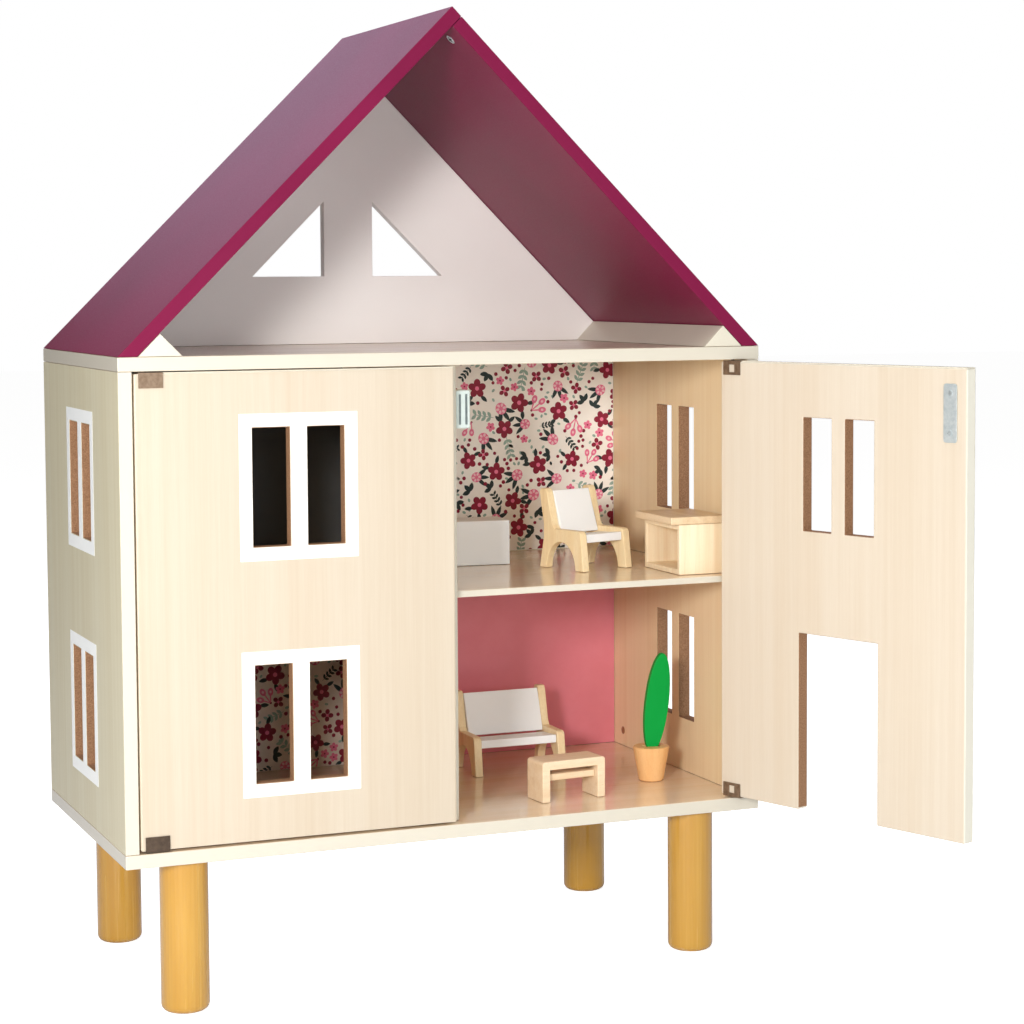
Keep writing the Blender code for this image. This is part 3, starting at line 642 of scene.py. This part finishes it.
def hardware_finishes():
    clips = {}
    for tone, (colour, shade) in CLIP_TONES.items():
        clips[tone] = metal(f"bronzed_steel_{tone}", colour, shade, 0.40, 0.5, "X")
    zinc = metal("zinc_plate", srgb(222, 230, 232), srgb(196, 208, 212), 0.38, 0.65)
    nylon = moulded("white_nylon_moulding", srgb(206, 214, 208), srgb(196, 206, 200), 0.4)
    ferrite = moulded("ferrite_block", srgb(62, 62, 66), srgb(48, 48, 52), 0.5)
    for name in NODES:
        if name.endswith("_clip"):
            wear(name, clips[CLIP_PAINTED_SHADE[name]])
        elif name.endswith(("_stud", "_insert", "_bolt", "_cam", "_strike_plate")):
            wear(name, zinc)
        elif name.endswith(("_bush", "_catch_body")):
            wear(name, nylon)
        elif name.endswith("_magnet"):
            wear(name, ferrite)
    # Painted shade: the cross recesses take a darker metal than the zinc heads
    recess = metal("screw_recess_painted_shade", srgb(96, 100, 102), srgb(70, 74, 78), 0.5, 0.6)
    poles = metal("catch_pole_steel", srgb(150, 160, 160), srgb(126, 136, 138), 0.45, 0.7)
    strike_plates(zinc, recess)
    magnet_catches(nylon, poles)
    ridge_cams(zinc, recess)
    cover_caps()


def circle(radius, sides):
    """Points round the Z axis at Z 0."""
    points = []
    for step in range(sides):
        angle = 2 * pi * step / sides
        points.append(Vector((radius * cos(angle), radius * sin(angle), 0)))
    return points


def cross_outline(radius):
    """The corners of a cross recess, clockwise: the inner corner and two outer ones of each arm."""
    arm, half = radius * CROSS_ARM, radius * CROSS_HALF
    corners = []
    for quarter in (0, 3, 2, 1):
        turn = Matrix.Rotation(quarter * pi / 2, 3, "Z")
        corners += [turn @ Vector(corner) for corner in ((half, half, 0), (arm, half, 0), (arm, -half, 0))]
    return corners


def raised(bm, at, points, level, share=1.0):
    """Vertices of a flat ring, drawn in to a share of its size and lifted to a level."""
    return [bm.verts.new(at @ (point * share + Vector((0, 0, level)))) for point in points]


def join_rings(bm, lower, upper):
    """Quads between two rings that have the same number of vertices."""
    faces = []
    for step in range(len(lower)):
        after = (step + 1) % len(lower)
        faces.append(bm.faces.new((lower[step], lower[after], upper[after], upper[step])))
    return faces


def ring_edges(bm, ring):
    """The edges round a closed ring of vertices; those that are missing are made."""
    edges = []
    for start, end in zip(ring, ring[1:] + ring[:1]):
        edges.append(bm.edges.get((start, end)) or bm.edges.new((start, end)))
    return edges


def screw_head(bm, radius, length, recess, at):
    """A round head along +Z with a cross recess in its top; the recess gets the second material, which
    paints its shade.
    """
    rim, cross = circle(radius, SCREW_SIDES), cross_outline(radius)
    base = raised(bm, at, rim, 0)
    side = raised(bm, at, rim, length - radius * HEAD_CHAMFER)
    crown = raised(bm, at, rim, length, HEAD_CROWN)
    mouth = raised(bm, at, cross, length)
    floor = raised(bm, at, cross, length - recess, RECESS_TAPER)
    bm.faces.new(list(reversed(base)))
    join_rings(bm, base, side)
    join_rings(bm, side, crown)
    bmesh.ops.bridge_loops(bm, edges=ring_edges(bm, crown) + ring_edges(bm, mouth))
    for face in join_rings(bm, mouth, floor) + [bm.faces.new(floor)]:
        face.material_index = 1


def slab_outline(width, height, radius, shrink, y):
    """Points round a rectangle in X and Z with round corners, drawn in by shrink."""
    points = []
    for quarter, (sx, sz) in enumerate(((1, 1), (-1, 1), (-1, -1), (1, -1))):
        centre = Vector((sx * (width / 2 - radius), y, sz * (height / 2 - radius)))
        for step in range(CORNER_STEPS + 1):
            angle = (quarter + step / CORNER_STEPS) * pi / 2
            points.append(centre + (radius - shrink) * Vector((cos(angle), 0, sin(angle))))
    return points


def rounded_slab(bm, width, height, thickness, radius, at, edge):
    """A plate in X and Z with round corners, from Y 0 to thickness; its far face is chamfered."""
    rings = []
    for shrink, y in ((0, 0), (0, thickness - edge), (edge, thickness)):
        outline = slab_outline(width, height, radius, shrink, y)
        rings.append([bm.verts.new(at @ point) for point in outline])
    bm.faces.new(rings[0])
    bm.faces.new(list(reversed(rings[-1])))
    for near, far in zip(rings, rings[1:]):
        join_rings(bm, near, far)


def closed_and_swing(side):
    """A door's box when it is closed, and the matrix that opens it to where it is modelled."""
    if side == "left":
        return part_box("left_door"), Matrix.Identity(4)
    hinge, angle, low, high = right_door_turn()
    swing = Matrix.Translation(hinge) @ Matrix.Rotation(angle, 4, "Z") @ Matrix.Translation(-hinge)
    return (low, high), swing


def strike_plates(zinc, recess):
    """A steel plate on each door for the catch's magnet, held by two cross-head screws."""
    left_low, left_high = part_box("left_strike_plate")
    width, thickness, height = left_high - left_low
    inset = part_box("left_door")[1].x - (left_low.x + left_high.x) / 2
    level = (left_low.z + left_high.z) / 2
    screw_turn = Matrix.Rotation(-pi / 2, 4, "X")
    for side in ("left", "right"):
        (low, high), swing = closed_and_swing(side)
        x = high.x - inset if side == "left" else low.x + inset
        middle = swing @ Matrix.Translation((x, left_low.y, level))
        bm = bmesh.new()
        rounded_slab(bm, width, height, thickness, PLATE_CORNER, middle, PLATE_EDGE)
        for end in (-1, 1):
            seat = Matrix.Translation((0, thickness - SCREW_SUNK, end * (height / 2 - SCREW_FROM_END)))
            screw_head(bm, SCREW_RADIUS, SCREW_LENGTH, SCREW_RECESS, middle @ seat @ screw_turn)
        plate = add_piece(f"{side}_strike_plate_screwed", bm, zinc, f"{side}_door")
        plate.data.materials.append(recess)
        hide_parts(f"{side}_strike_plate")


def magnet_catches(nylon, poles):
    """A moulded housing with the magnet's two steel pole strips standing just proud of it."""
    for side in ("left", "right"):
        low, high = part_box(f"{side}_catch_body")
        magnet_low, magnet_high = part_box(f"{side}_catch_magnet")
        width, depth, height = high - low
        apart, _, pole_height = magnet_high - magnet_low
        back = Matrix.Translation(((low.x + high.x) / 2, high.y, (low.z + high.z) / 2))
        forward = back @ Matrix.Rotation(pi, 4, "Z")
        bm = bmesh.new()
        rounded_slab(bm, width, height, depth - POLE_PROUD, HOUSING_CORNER, forward, HOUSING_EDGE)
        housing = add_piece(f"{side}_catch_housing", bm, nylon, "house")
        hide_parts(f"{side}_catch_body", f"{side}_catch_magnet")
        bm = bmesh.new()
        for edge in (-1, 1):
            spot = forward @ Matrix.Translation((edge * apart / 2, POLE_FROM_BACK, 0))
            rounded_slab(bm, POLE_THICKNESS, pole_height + POLE_PAST_MAGNET, depth - POLE_FROM_BACK,
                         POLE_CORNER, spot, POLE_EDGE)
        add_piece(f"{side}_catch_poles", bm, poles, "house")


def ridge_cams(zinc, recess):
    """Cam locks that hold the right roof panel to the bolts in the left one."""
    for end in ("front", "back"):
        low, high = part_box(f"{end}_ridge_cam")
        # The cam lies at 45 degrees in X and Z, so its box shows length and width together
        radius = (high.y - low.y) / 2
        length = (high.x - low.x) * sqrt(2) - 2 * radius
        middle = Matrix.Translation((low + high) / 2)
        at = middle @ Matrix.Rotation(CAM_TURN, 4, "Y") @ Matrix.Translation((0, 0, -length / 2))
        bm = bmesh.new()
        screw_head(bm, radius, length, CAM_RECESS, at)
        cam = add_piece(f"{end}_ridge_cam_cross", bm, zinc, "house")
        cam.data.materials.append(recess)
        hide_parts(f"{end}_ridge_cam")


def dome(radius, rise):
    """A shallow closed dome that stands on Z 0."""
    bm = bmesh.new()
    foot = circle(radius, DOME_SIDES)
    rings = []
    for step in range(DOME_RINGS):
        lift = step * pi / (2 * DOME_RINGS)
        rings.append(raised(bm, Matrix.Identity(4), foot, rise * sin(lift), cos(lift)))
    top = bm.verts.new((0, 0, rise))
    bm.faces.new(list(reversed(rings[0])))
    for lower, upper in zip(rings, rings[1:]):
        join_rings(bm, lower, upper)
    last = rings[-1]
    for start, end in zip(last, last[1:] + last[:1]):
        bm.faces.new((start, end, top))
    return bm


def cover_caps():
    """Domed caps over the screws low in both side walls, near the back."""
    tan = moulded("brown_cover_cap", srgb(158, 108, 70), srgb(138, 92, 58), 0.4)
    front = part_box("left_wall")[0].y
    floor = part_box("bottom_board")[1].z
    inner_faces = {"left": (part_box("left_wall")[1].x, 1), "right": (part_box("right_wall")[0].x, -1)}
    for side, (x, quarter) in inner_faces.items():
        place = Matrix.Translation((x, front + CAP_DEPTH, floor + CAP_LEVEL))
        at = place @ Matrix.Rotation(quarter * pi / 2, 4, "Y")
        bm = dome(CAP_RADIUS, CAP_RISE)
        cap = add_piece(f"{side}_wall_screw_cap", bm, tan, "house", at)
        cap.data.shade_smooth()


def door_top_bands():
    """The banding on each door's top edge, from its clip to its free edge."""
    band = coloured_board("door_top_banding", IVORY, 0.4, 19)
    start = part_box("left_door_top_clip")[1].x + TOP_BAND_FROM_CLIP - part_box("left_door")[0].x
    for side in ("left", "right"):
        (low, high), swing = closed_and_swing(side)
        if side == "left":
            x0, x1 = low.x + start, high.x - TOP_BAND_FROM_END
        else:
            x0, x1 = low.x + TOP_BAND_FROM_END, high.x - start
        middle = Matrix.Translation(((x0 + x1) / 2, (low.y + high.y) / 2, high.z))
        at = swing @ middle @ Matrix.Rotation(pi / 2, 4, "X")
        depth = high.y - low.y - 2 * TOP_BAND_SETBACK
        bm = bmesh.new()
        rounded_slab(bm, x1 - x0, depth, TOP_BAND, TOP_BAND_CORNER, at, TOP_BAND_EDGE)
        add_piece(f"{side}_door_top_band", bm, band, f"{side}_door")


def window_sheet():
    """The white printed frame round two panes, centred on X, with its foot at the sill."""
    inner, outer = MULLION / 2, MULLION / 2 + PANE_WIDTH
    across = (-outer - FRAME_MARGIN, -outer - HOLE_EDGE, -inner + HOLE_EDGE, inner - HOLE_EDGE,
              outer + HOLE_EDGE, outer + FRAME_MARGIN)
    up = (-FRAME_MARGIN, -HOLE_EDGE, PANE_HEIGHT + HOLE_EDGE, PANE_HEIGHT + FRAME_MARGIN)
    return pierced_sheet(across, up, {(1, 1), (3, 1)}, PRINT)


def entrance_sheet():
    """The printed frame round the doorway, open at the bottom."""
    half = ENTRANCE_WIDTH / 2 + HOLE_EDGE
    across = (-half - FRAME_MARGIN, -half, half, half + FRAME_MARGIN)
    up = (DOORWAY_FOOT, ENTRANCE_HEIGHT + HOLE_EDGE, ENTRANCE_HEIGHT + FRAME_MARGIN)
    return pierced_sheet(across, up, {(1, 0)}, PRINT)


def window_prints():
    """The printed frames on both side walls and both doors."""
    white = paper("white_frame_print", srgb(254, 254, 252), srgb(248, 249, 248), 0.35)
    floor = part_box("bottom_board")[1].z
    left_low, left_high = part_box("left_door")
    wall_middle = (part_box("left_wall")[0].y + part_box("left_wall")[1].y) / 2
    outer_faces = {"left": (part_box("left_wall")[0].x, -1), "right": (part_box("right_wall")[1].x, 1)}
    for level, sill in zip(("lower", "upper"), PANE_SILLS):
        z = floor + sill
        at = Matrix.Translation(((left_low.x + left_high.x) / 2, left_low.y, z))
        add_piece(f"left_door_{level}_window_print", window_sheet(), white, "left_door", at)
        for side, (x, quarter) in outer_faces.items():
            at = Matrix.Translation((x, wall_middle, z)) @ Matrix.Rotation(quarter * pi / 2, 4, "Z")
            name = f"{side}_wall_{level}_window_print"
            add_piece(name, window_sheet(), white, "house", at)
    (low, high), swing = closed_and_swing("right")
    middle = (low.x + high.x) / 2
    upper = swing @ Matrix.Translation((middle, low.y, floor + PANE_SILLS[1]))
    add_piece("right_door_upper_window_print", window_sheet(), white, "right_door", upper)
    doorway = swing @ Matrix.Translation((middle, low.y, low.z))
    add_piece("right_door_entrance_print", entrance_sheet(), white, "right_door", doorway)


# ---- wallpaper

def room_rectangles():
    """The left, foot, right and head of the back wall in each room, and its plane."""
    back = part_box("back_panel")[0].y
    floor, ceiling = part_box("bottom_board")[1].z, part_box("top_board")[0].z
    shelf_low, shelf_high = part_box("right_shelf")[0].z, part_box("right_shelf")[1].z
    left_wall, right_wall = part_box("left_wall")[1].x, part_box("right_wall")[0].x
    divider_low, divider_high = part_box("centre_divider")
    spans = {"left": (left_wall, divider_low.x), "right": (divider_high.x, right_wall)}
    storeys = {"lower": (floor, shelf_low), "upper": (shelf_high, ceiling)}
    rooms = {}
    for side, (x0, x1) in spans.items():
        for storey, (z0, z1) in storeys.items():
            rooms[storey, side] = (x0 + ROOM_GAP, z0 + ROOM_GAP, x1 - ROOM_GAP, z1 - ROOM_GAP, back)
    return rooms


def clipped(outline, low_x, low_z, high_x, high_z):
    """The part of a convex outline that lies inside a rectangle."""
    sides = ((0, low_x, 1), (0, high_x, -1), (1, low_z, 1), (1, high_z, -1))
    for axis, limit, sign in sides:
        kept = []
        for step, point in enumerate(outline):
            before = outline[step - 1]
            inside, was_inside = (sign * (p[axis] - limit) >= 0 for p in (point, before))
            if inside != was_inside:
                share = (limit - before[axis]) / (point[axis] - before[axis])
                kept.append(tuple(b + share * (p - b) for b, p in zip(before, point)))
            if inside:
                kept.append(point)
        outline = kept
        if len(outline) < 3:
            return []
    return outline


def placed_outline(points, centre, turn):
    """An outline in X and Z, turned and moved to a centre."""
    cosine, sine = cos(turn), sin(turn)
    return [(centre[0] + x * cosine - z * sine, centre[1] + x * sine + z * cosine) for x, z in points]


def ellipse(centre, radii, turn, points=14):
    """A turned ellipse as an outline in X and Z."""
    outline = []
    for step in range(points):
        angle = 2 * pi * step / points
        outline.append((radii[0] * cos(angle), radii[1] * sin(angle)))
    return placed_outline(outline, centre, turn)


def leaf_outline(base, length, width, turn, points=6):
    """A pointed leaf that starts at its base and runs along the turn."""
    upper = []
    lower = []
    for step in range(points + 1):
        share = step / points
        half = width / 2 * sin(pi * share) ** 0.8
        upper.append((share * length, half))
        lower.append((share * length, -half))
    outline = lower[:-1] + [upper[-1]] + list(reversed(upper[1:-1]))
    return placed_outline(outline, base, turn)


def ring_points(centre, radius, turn, count):
    """Angles round a centre, each with its point at a radius."""
    for step in range(count):
        angle = turn + 2 * pi * step / count
        yield angle, (centre[0] + radius * cos(angle), centre[1] + radius * sin(angle))


def blossom(centre, size, turn, petal_ink, heart_ink, petals):
    """Round petals about a small heart."""
    shapes = []
    for angle, middle in ring_points(centre, size * 0.30, turn, petals):
        shapes.append((petal_ink, ellipse(middle, (size * 0.22, size * 0.19), angle)))
    shapes.append((heart_ink, ellipse(centre, (size * 0.12, size * 0.12), 0, 10)))
    return shapes


def moved(point, reach, direction):
    """The point, moved by a reach in a direction."""
    return point[0] + reach * cos(direction), point[1] + reach * sin(direction)


def big_flower(centre, size, turn):
    """A blossom with two leaves on one side."""
    shapes = blossom(centre, size, turn, "burgundy", "rose", 5)
    for side in (-0.5, 0.5):
        direction = turn + pi / 5 + side
        base = moved(centre, size * 0.42, direction)
        shapes.append(("pine", leaf_outline(base, size * 0.52, size * 0.22, direction + side * 0.7)))
    return shapes


def rose_flower(centre, size, turn):
    """A round flower over three leaves, with a ring of pale dots in it."""
    shapes = []
    for angle in (2.3, 3.0, 3.7):
        shapes.append(("pine", leaf_outline(centre, size * 0.85, size * 0.24, turn + angle)))
    shapes.append(("rose", ellipse(centre, (size * 0.33, size * 0.31), turn)))
    for angle, point in ring_points(centre, size * 0.20, turn, 6):
        shapes.append(("blush", ellipse(point, (size * 0.10, size * 0.07), angle, 8)))
    shapes.append(("burgundy", ellipse(centre, (size * 0.08, size * 0.08), 0, 8)))
    return shapes


def bell_spray(centre, size, turn):
    """Three bells on short stalks from one foot."""
    foot = moved(centre, -size * 0.42, turn)
    shapes = []
    for spread, length in ((-0.62, 0.55), (0.0, 0.68), (0.62, 0.55)):
        direction = turn + spread
        reach = size * length
        stalk, tip = moved(foot, reach / 2, direction), moved(foot, reach, direction)
        shapes.append(("rose", ellipse(stalk, (reach / 2, size * 0.035), direction, 8)))
        shapes.append(("rose", ellipse(tip, (size * 0.20, size * 0.14), direction)))
        shapes.append(("blush", ellipse(tip, (size * 0.07, size * 0.06), direction, 8)))
    shapes.append(("burgundy", ellipse(foot, (size * 0.06, size * 0.06), 0, 8)))
    return shapes


def sprig(centre, size, turn, ink):
    """A stem with leaves in pairs."""
    half = size / 2
    shapes = [(ink, ellipse(centre, (half, size * 0.018), turn, 8))]
    for step in range(4):
        base = moved(centre, size * (0.18 + 0.22 * step) - half, turn)
        for side in (-0.85, 0.85):
            shapes.append((ink, leaf_outline(base, size * 0.28, size * 0.14, turn + side, 4)))
    return shapes


def three_leaves(centre, size, turn):
    shapes = []
    for side in (-0.5, 0.5, 1.6):
        shapes.append(("pine", leaf_outline(centre, size * 0.58, size * 0.30, turn + side)))
    return shapes


def berry(centre, size, _):
    return [("burgundy", ellipse(centre, (size / 2, size / 2), 0, 9))]


def bud(centre, size, turn):
    return [("sage", ellipse(centre, (size / 2, size / 3), turn, 8))]


# The first kinds in the list are the big ones, which also keep away from their own kind
MOTIFS = (
    # maker, its settings, size in mm, clearance in mm, how many are tried
    (big_flower, (), 18, 9.5, 150),
    (rose_flower, (), 18, 9.5, 170),
    (bell_spray, (), 20, 8.5, 170),
    (sprig, ("sage",), 23, 8.5, 260),
    (blossom, ("burgundy", "rose", 4), 12, 5.5, 200),
    (sprig, ("pine",), 17, 7.0, 240),
    (three_leaves, (), 15, 5.5, 300),
    (blossom, ("rose", "burgundy", 5), 9, 4.2, 400),
    (berry, (), 3.8, 2.3, 900),
    (bud, (), 4.0, 2.2, 900),
)


def has_room(centre, clear, kind, placed):
    """Whether a motif is clear of the others, and a big one far from its own kind."""
    for x, z, other_clear, other_kind, *_ in placed:
        distance = hypot(centre[0] - x, centre[1] - z)
        if distance < clear + other_clear:
            return False
        if kind < BIG_KINDS and other_kind == kind and distance < SAME_KIND_APART:
            return False
    return True


def scatter(width, height, seed):
    """Motifs thrown one after another wherever they find room, in mm."""
    chance = random.Random(seed)
    placed = []
    for kind, (_, _, size, clear, tries) in enumerate(MOTIFS):
        for _ in range(tries):
            centre = (chance.uniform(-SPILL, width + SPILL), chance.uniform(-SPILL, height + SPILL))
            turn = chance.uniform(0, 2 * pi)
            if has_room(centre, clear, kind, placed):
                placed.append((*centre, clear, kind, turn, size * chance.uniform(*SIZE_RANGE)))
    return placed


def floral_print(name, room, seed, inks):
    """The flower pattern in one room, as one thin piece for each ink.

    Later inks lie higher, and neighbours in one ink differ a little in height.
    """
    x0, z0, x1, z1, back = room
    width, height = (x1 - x0) / MM, (z1 - z0) / MM
    layers = {ink: bmesh.new() for ink in inks}
    order = list(inks)
    count = 0
    for x, z, _, kind, turn, size in scatter(width, height, seed):
        maker, settings = MOTIFS[kind][:2]
        for ink, outline in maker((x, z), size, turn, *settings):
            outline = clipped(outline, CUT_MARGIN, CUT_MARGIN, width - CUT_MARGIN, height - CUT_MARGIN)
            if outline:
                count += 1
                rise = INK * (1 + order.index(ink)) + (count % STAGGER_COUNT) * STAGGER_STEP
                convex_prism(layers[ink], [(a * MM, b * MM) for a, b in outline], -BITE, rise)
    place = Matrix.Translation((x0, back - PAPER, z0))
    for ink, bm in layers.items():
        add_piece(f"{name}_{ink}_print", bm, inks[ink], "house", place)


INK_TONES = {
    # colour and shade of each ink, from the lowest layer up
    "sage": (srgb(158, 184, 172), srgb(146, 174, 162)),
    "pine": (srgb(34, 56, 58), srgb(26, 46, 50)),
    "burgundy": (srgb(150, 24, 58), srgb(132, 18, 50)),
    "rose": (srgb(240, 128, 160), srgb(232, 114, 150)),
    "blush": (srgb(252, 206, 214), srgb(246, 196, 206)),
}


def wallpapers():
    """A sheet on each room's back wall, with the flower pattern on two of them."""
    inks = {ink: paper(f"{ink}_ink", *tones) for ink, tones in INK_TONES.items()}
    rooms = room_rectangles()
    grounds = {
        ("upper", "right"): paper("floral_ground_paper", srgb(254, 249, 242), srgb(249, 242, 234)),
        ("lower", "left"): paper("floral_ground_paper_left", srgb(238, 220, 208), srgb(230, 211, 200)),
        ("lower", "right"): paper("dusty_pink_paper", srgb(228, 134, 146), srgb(222, 124, 136)),
        ("upper", "left"): paper("dark_grey_paper", srgb(96, 98, 100), srgb(86, 88, 90)),
    }
    for (storey, side), (x0, z0, x1, z1, back) in rooms.items():
        sheet = pierced_sheet((0, x1 - x0), (0, z1 - z0), set(), PAPER)
        at = Matrix.Translation((x0, back - BITE, z0))
        add_piece(f"{storey}_{side}_wallpaper", sheet, grounds[storey, side], "house", at)
    floral_print("upper_right", rooms["upper", "right"], 5, inks)
    floral_print("lower_left", rooms["lower", "left"], 8, inks)


# ---- stage

def build_camera():
    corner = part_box("bottom_board")[0]
    ahead = Vector((sin(CAMERA_YAW), cos(CAMERA_YAW), 0))
    forward = ahead * cos(CAMERA_PITCH) - Vector((0, 0, sin(CAMERA_PITCH)))
    level = Vector((cos(CAMERA_YAW), -sin(CAMERA_YAW), 0))
    upright = level.cross(forward)
    right = level * cos(CAMERA_ROLL) + upright * sin(CAMERA_ROLL)
    up = upright * cos(CAMERA_ROLL) - level * sin(CAMERA_ROLL)
    data = bpy.data.cameras.new("camera")
    data.sensor_width = SENSOR
    data.lens = LENS
    data.shift_x, data.shift_y = SHIFT
    camera = linked("camera", data)
    rotation = Matrix((right, up, -forward)).transposed()
    camera.matrix_world = Matrix.Translation(corner + CAMERA_OFFSET) @ rotation.to_4x4()
    bpy.context.scene.camera = camera


def softbox(name, azimuth, elevation, distance, size, power, colour):
    """An area light that looks at the middle of the part."""
    data = bpy.data.lights.new(name, "AREA")
    data.shape = "RECTANGLE"
    data.size, data.size_y = size
    data.energy = power
    data.color = colour
    light = linked(name, data)
    turn, lift = radians(azimuth), radians(elevation)
    away = Vector((sin(turn) * cos(lift), -cos(turn) * cos(lift), sin(lift)))
    light.location = (CAD_BOX[0] + CAD_BOX[1]) / 2 + away * distance
    light.rotation_euler = away.to_track_quat("Z", "Y").to_euler()
    light.visible_camera = False
    light.visible_glossy = name in SHINING_LAMPS


def build_floor():
    """A wide white floor that glows a little for the camera only."""
    bm = bmesh.new()
    bmesh.ops.create_grid(bm, x_segments=1, y_segments=1, size=FLOOR_REACH)
    mesh = bpy.data.meshes.new("studio_floor")
    bm.to_mesh(mesh)
    bm.free()
    floor = linked("studio_floor", mesh)
    pale = Paint("studio_floor_paint", roughness=0.8, specular=0.2)
    cloud = pale.noise(pale.point, (3, 3, 3), 3, 0.5)
    pale.colour(pale.mix(cloud, srgb(238, 238, 237), srgb(232, 232, 231)))
    seen = pale.tree.nodes.new("ShaderNodeLightPath")
    pale.shader.inputs["Emission Color"].default_value = (1, 1, 1, 1)
    glow = pale.math("MULTIPLY", seen.outputs["Is Camera Ray"], FLOOR_GLOW)
    pale.feed(pale.shader.inputs["Emission Strength"], glow)
    mesh.materials.append(pale.material)


def build_world():
    """A white background for the camera that gives only a little light."""
    scene = bpy.context.scene
    scene.view_settings.view_transform = "Standard"
    world = bpy.data.worlds.new("studio")
    world.use_nodes = True
    tree = world.node_tree
    background = tree.nodes["Background"]
    background.inputs["Color"].default_value = (1, 1, 1, 1)
    path = tree.nodes.new("ShaderNodeLightPath")
    strength = tree.nodes.new("ShaderNodeMapRange")
    strength.inputs["To Min"].default_value = SKY_FILL
    strength.inputs["To Max"].default_value = 1.0
    tree.links.new(path.outputs["Is Camera Ray"], strength.inputs["Value"])
    tree.links.new(strength.outputs[0], background.inputs["Strength"])
    scene.world = world


laminates()
house_paints()
furniture_finishes()
hardware_finishes()
door_top_bands()
window_prints()
wallpapers()
build_camera()
build_floor()
build_world()
for lamp, setting in LAMPS.items():
    softbox(lamp, *setting)
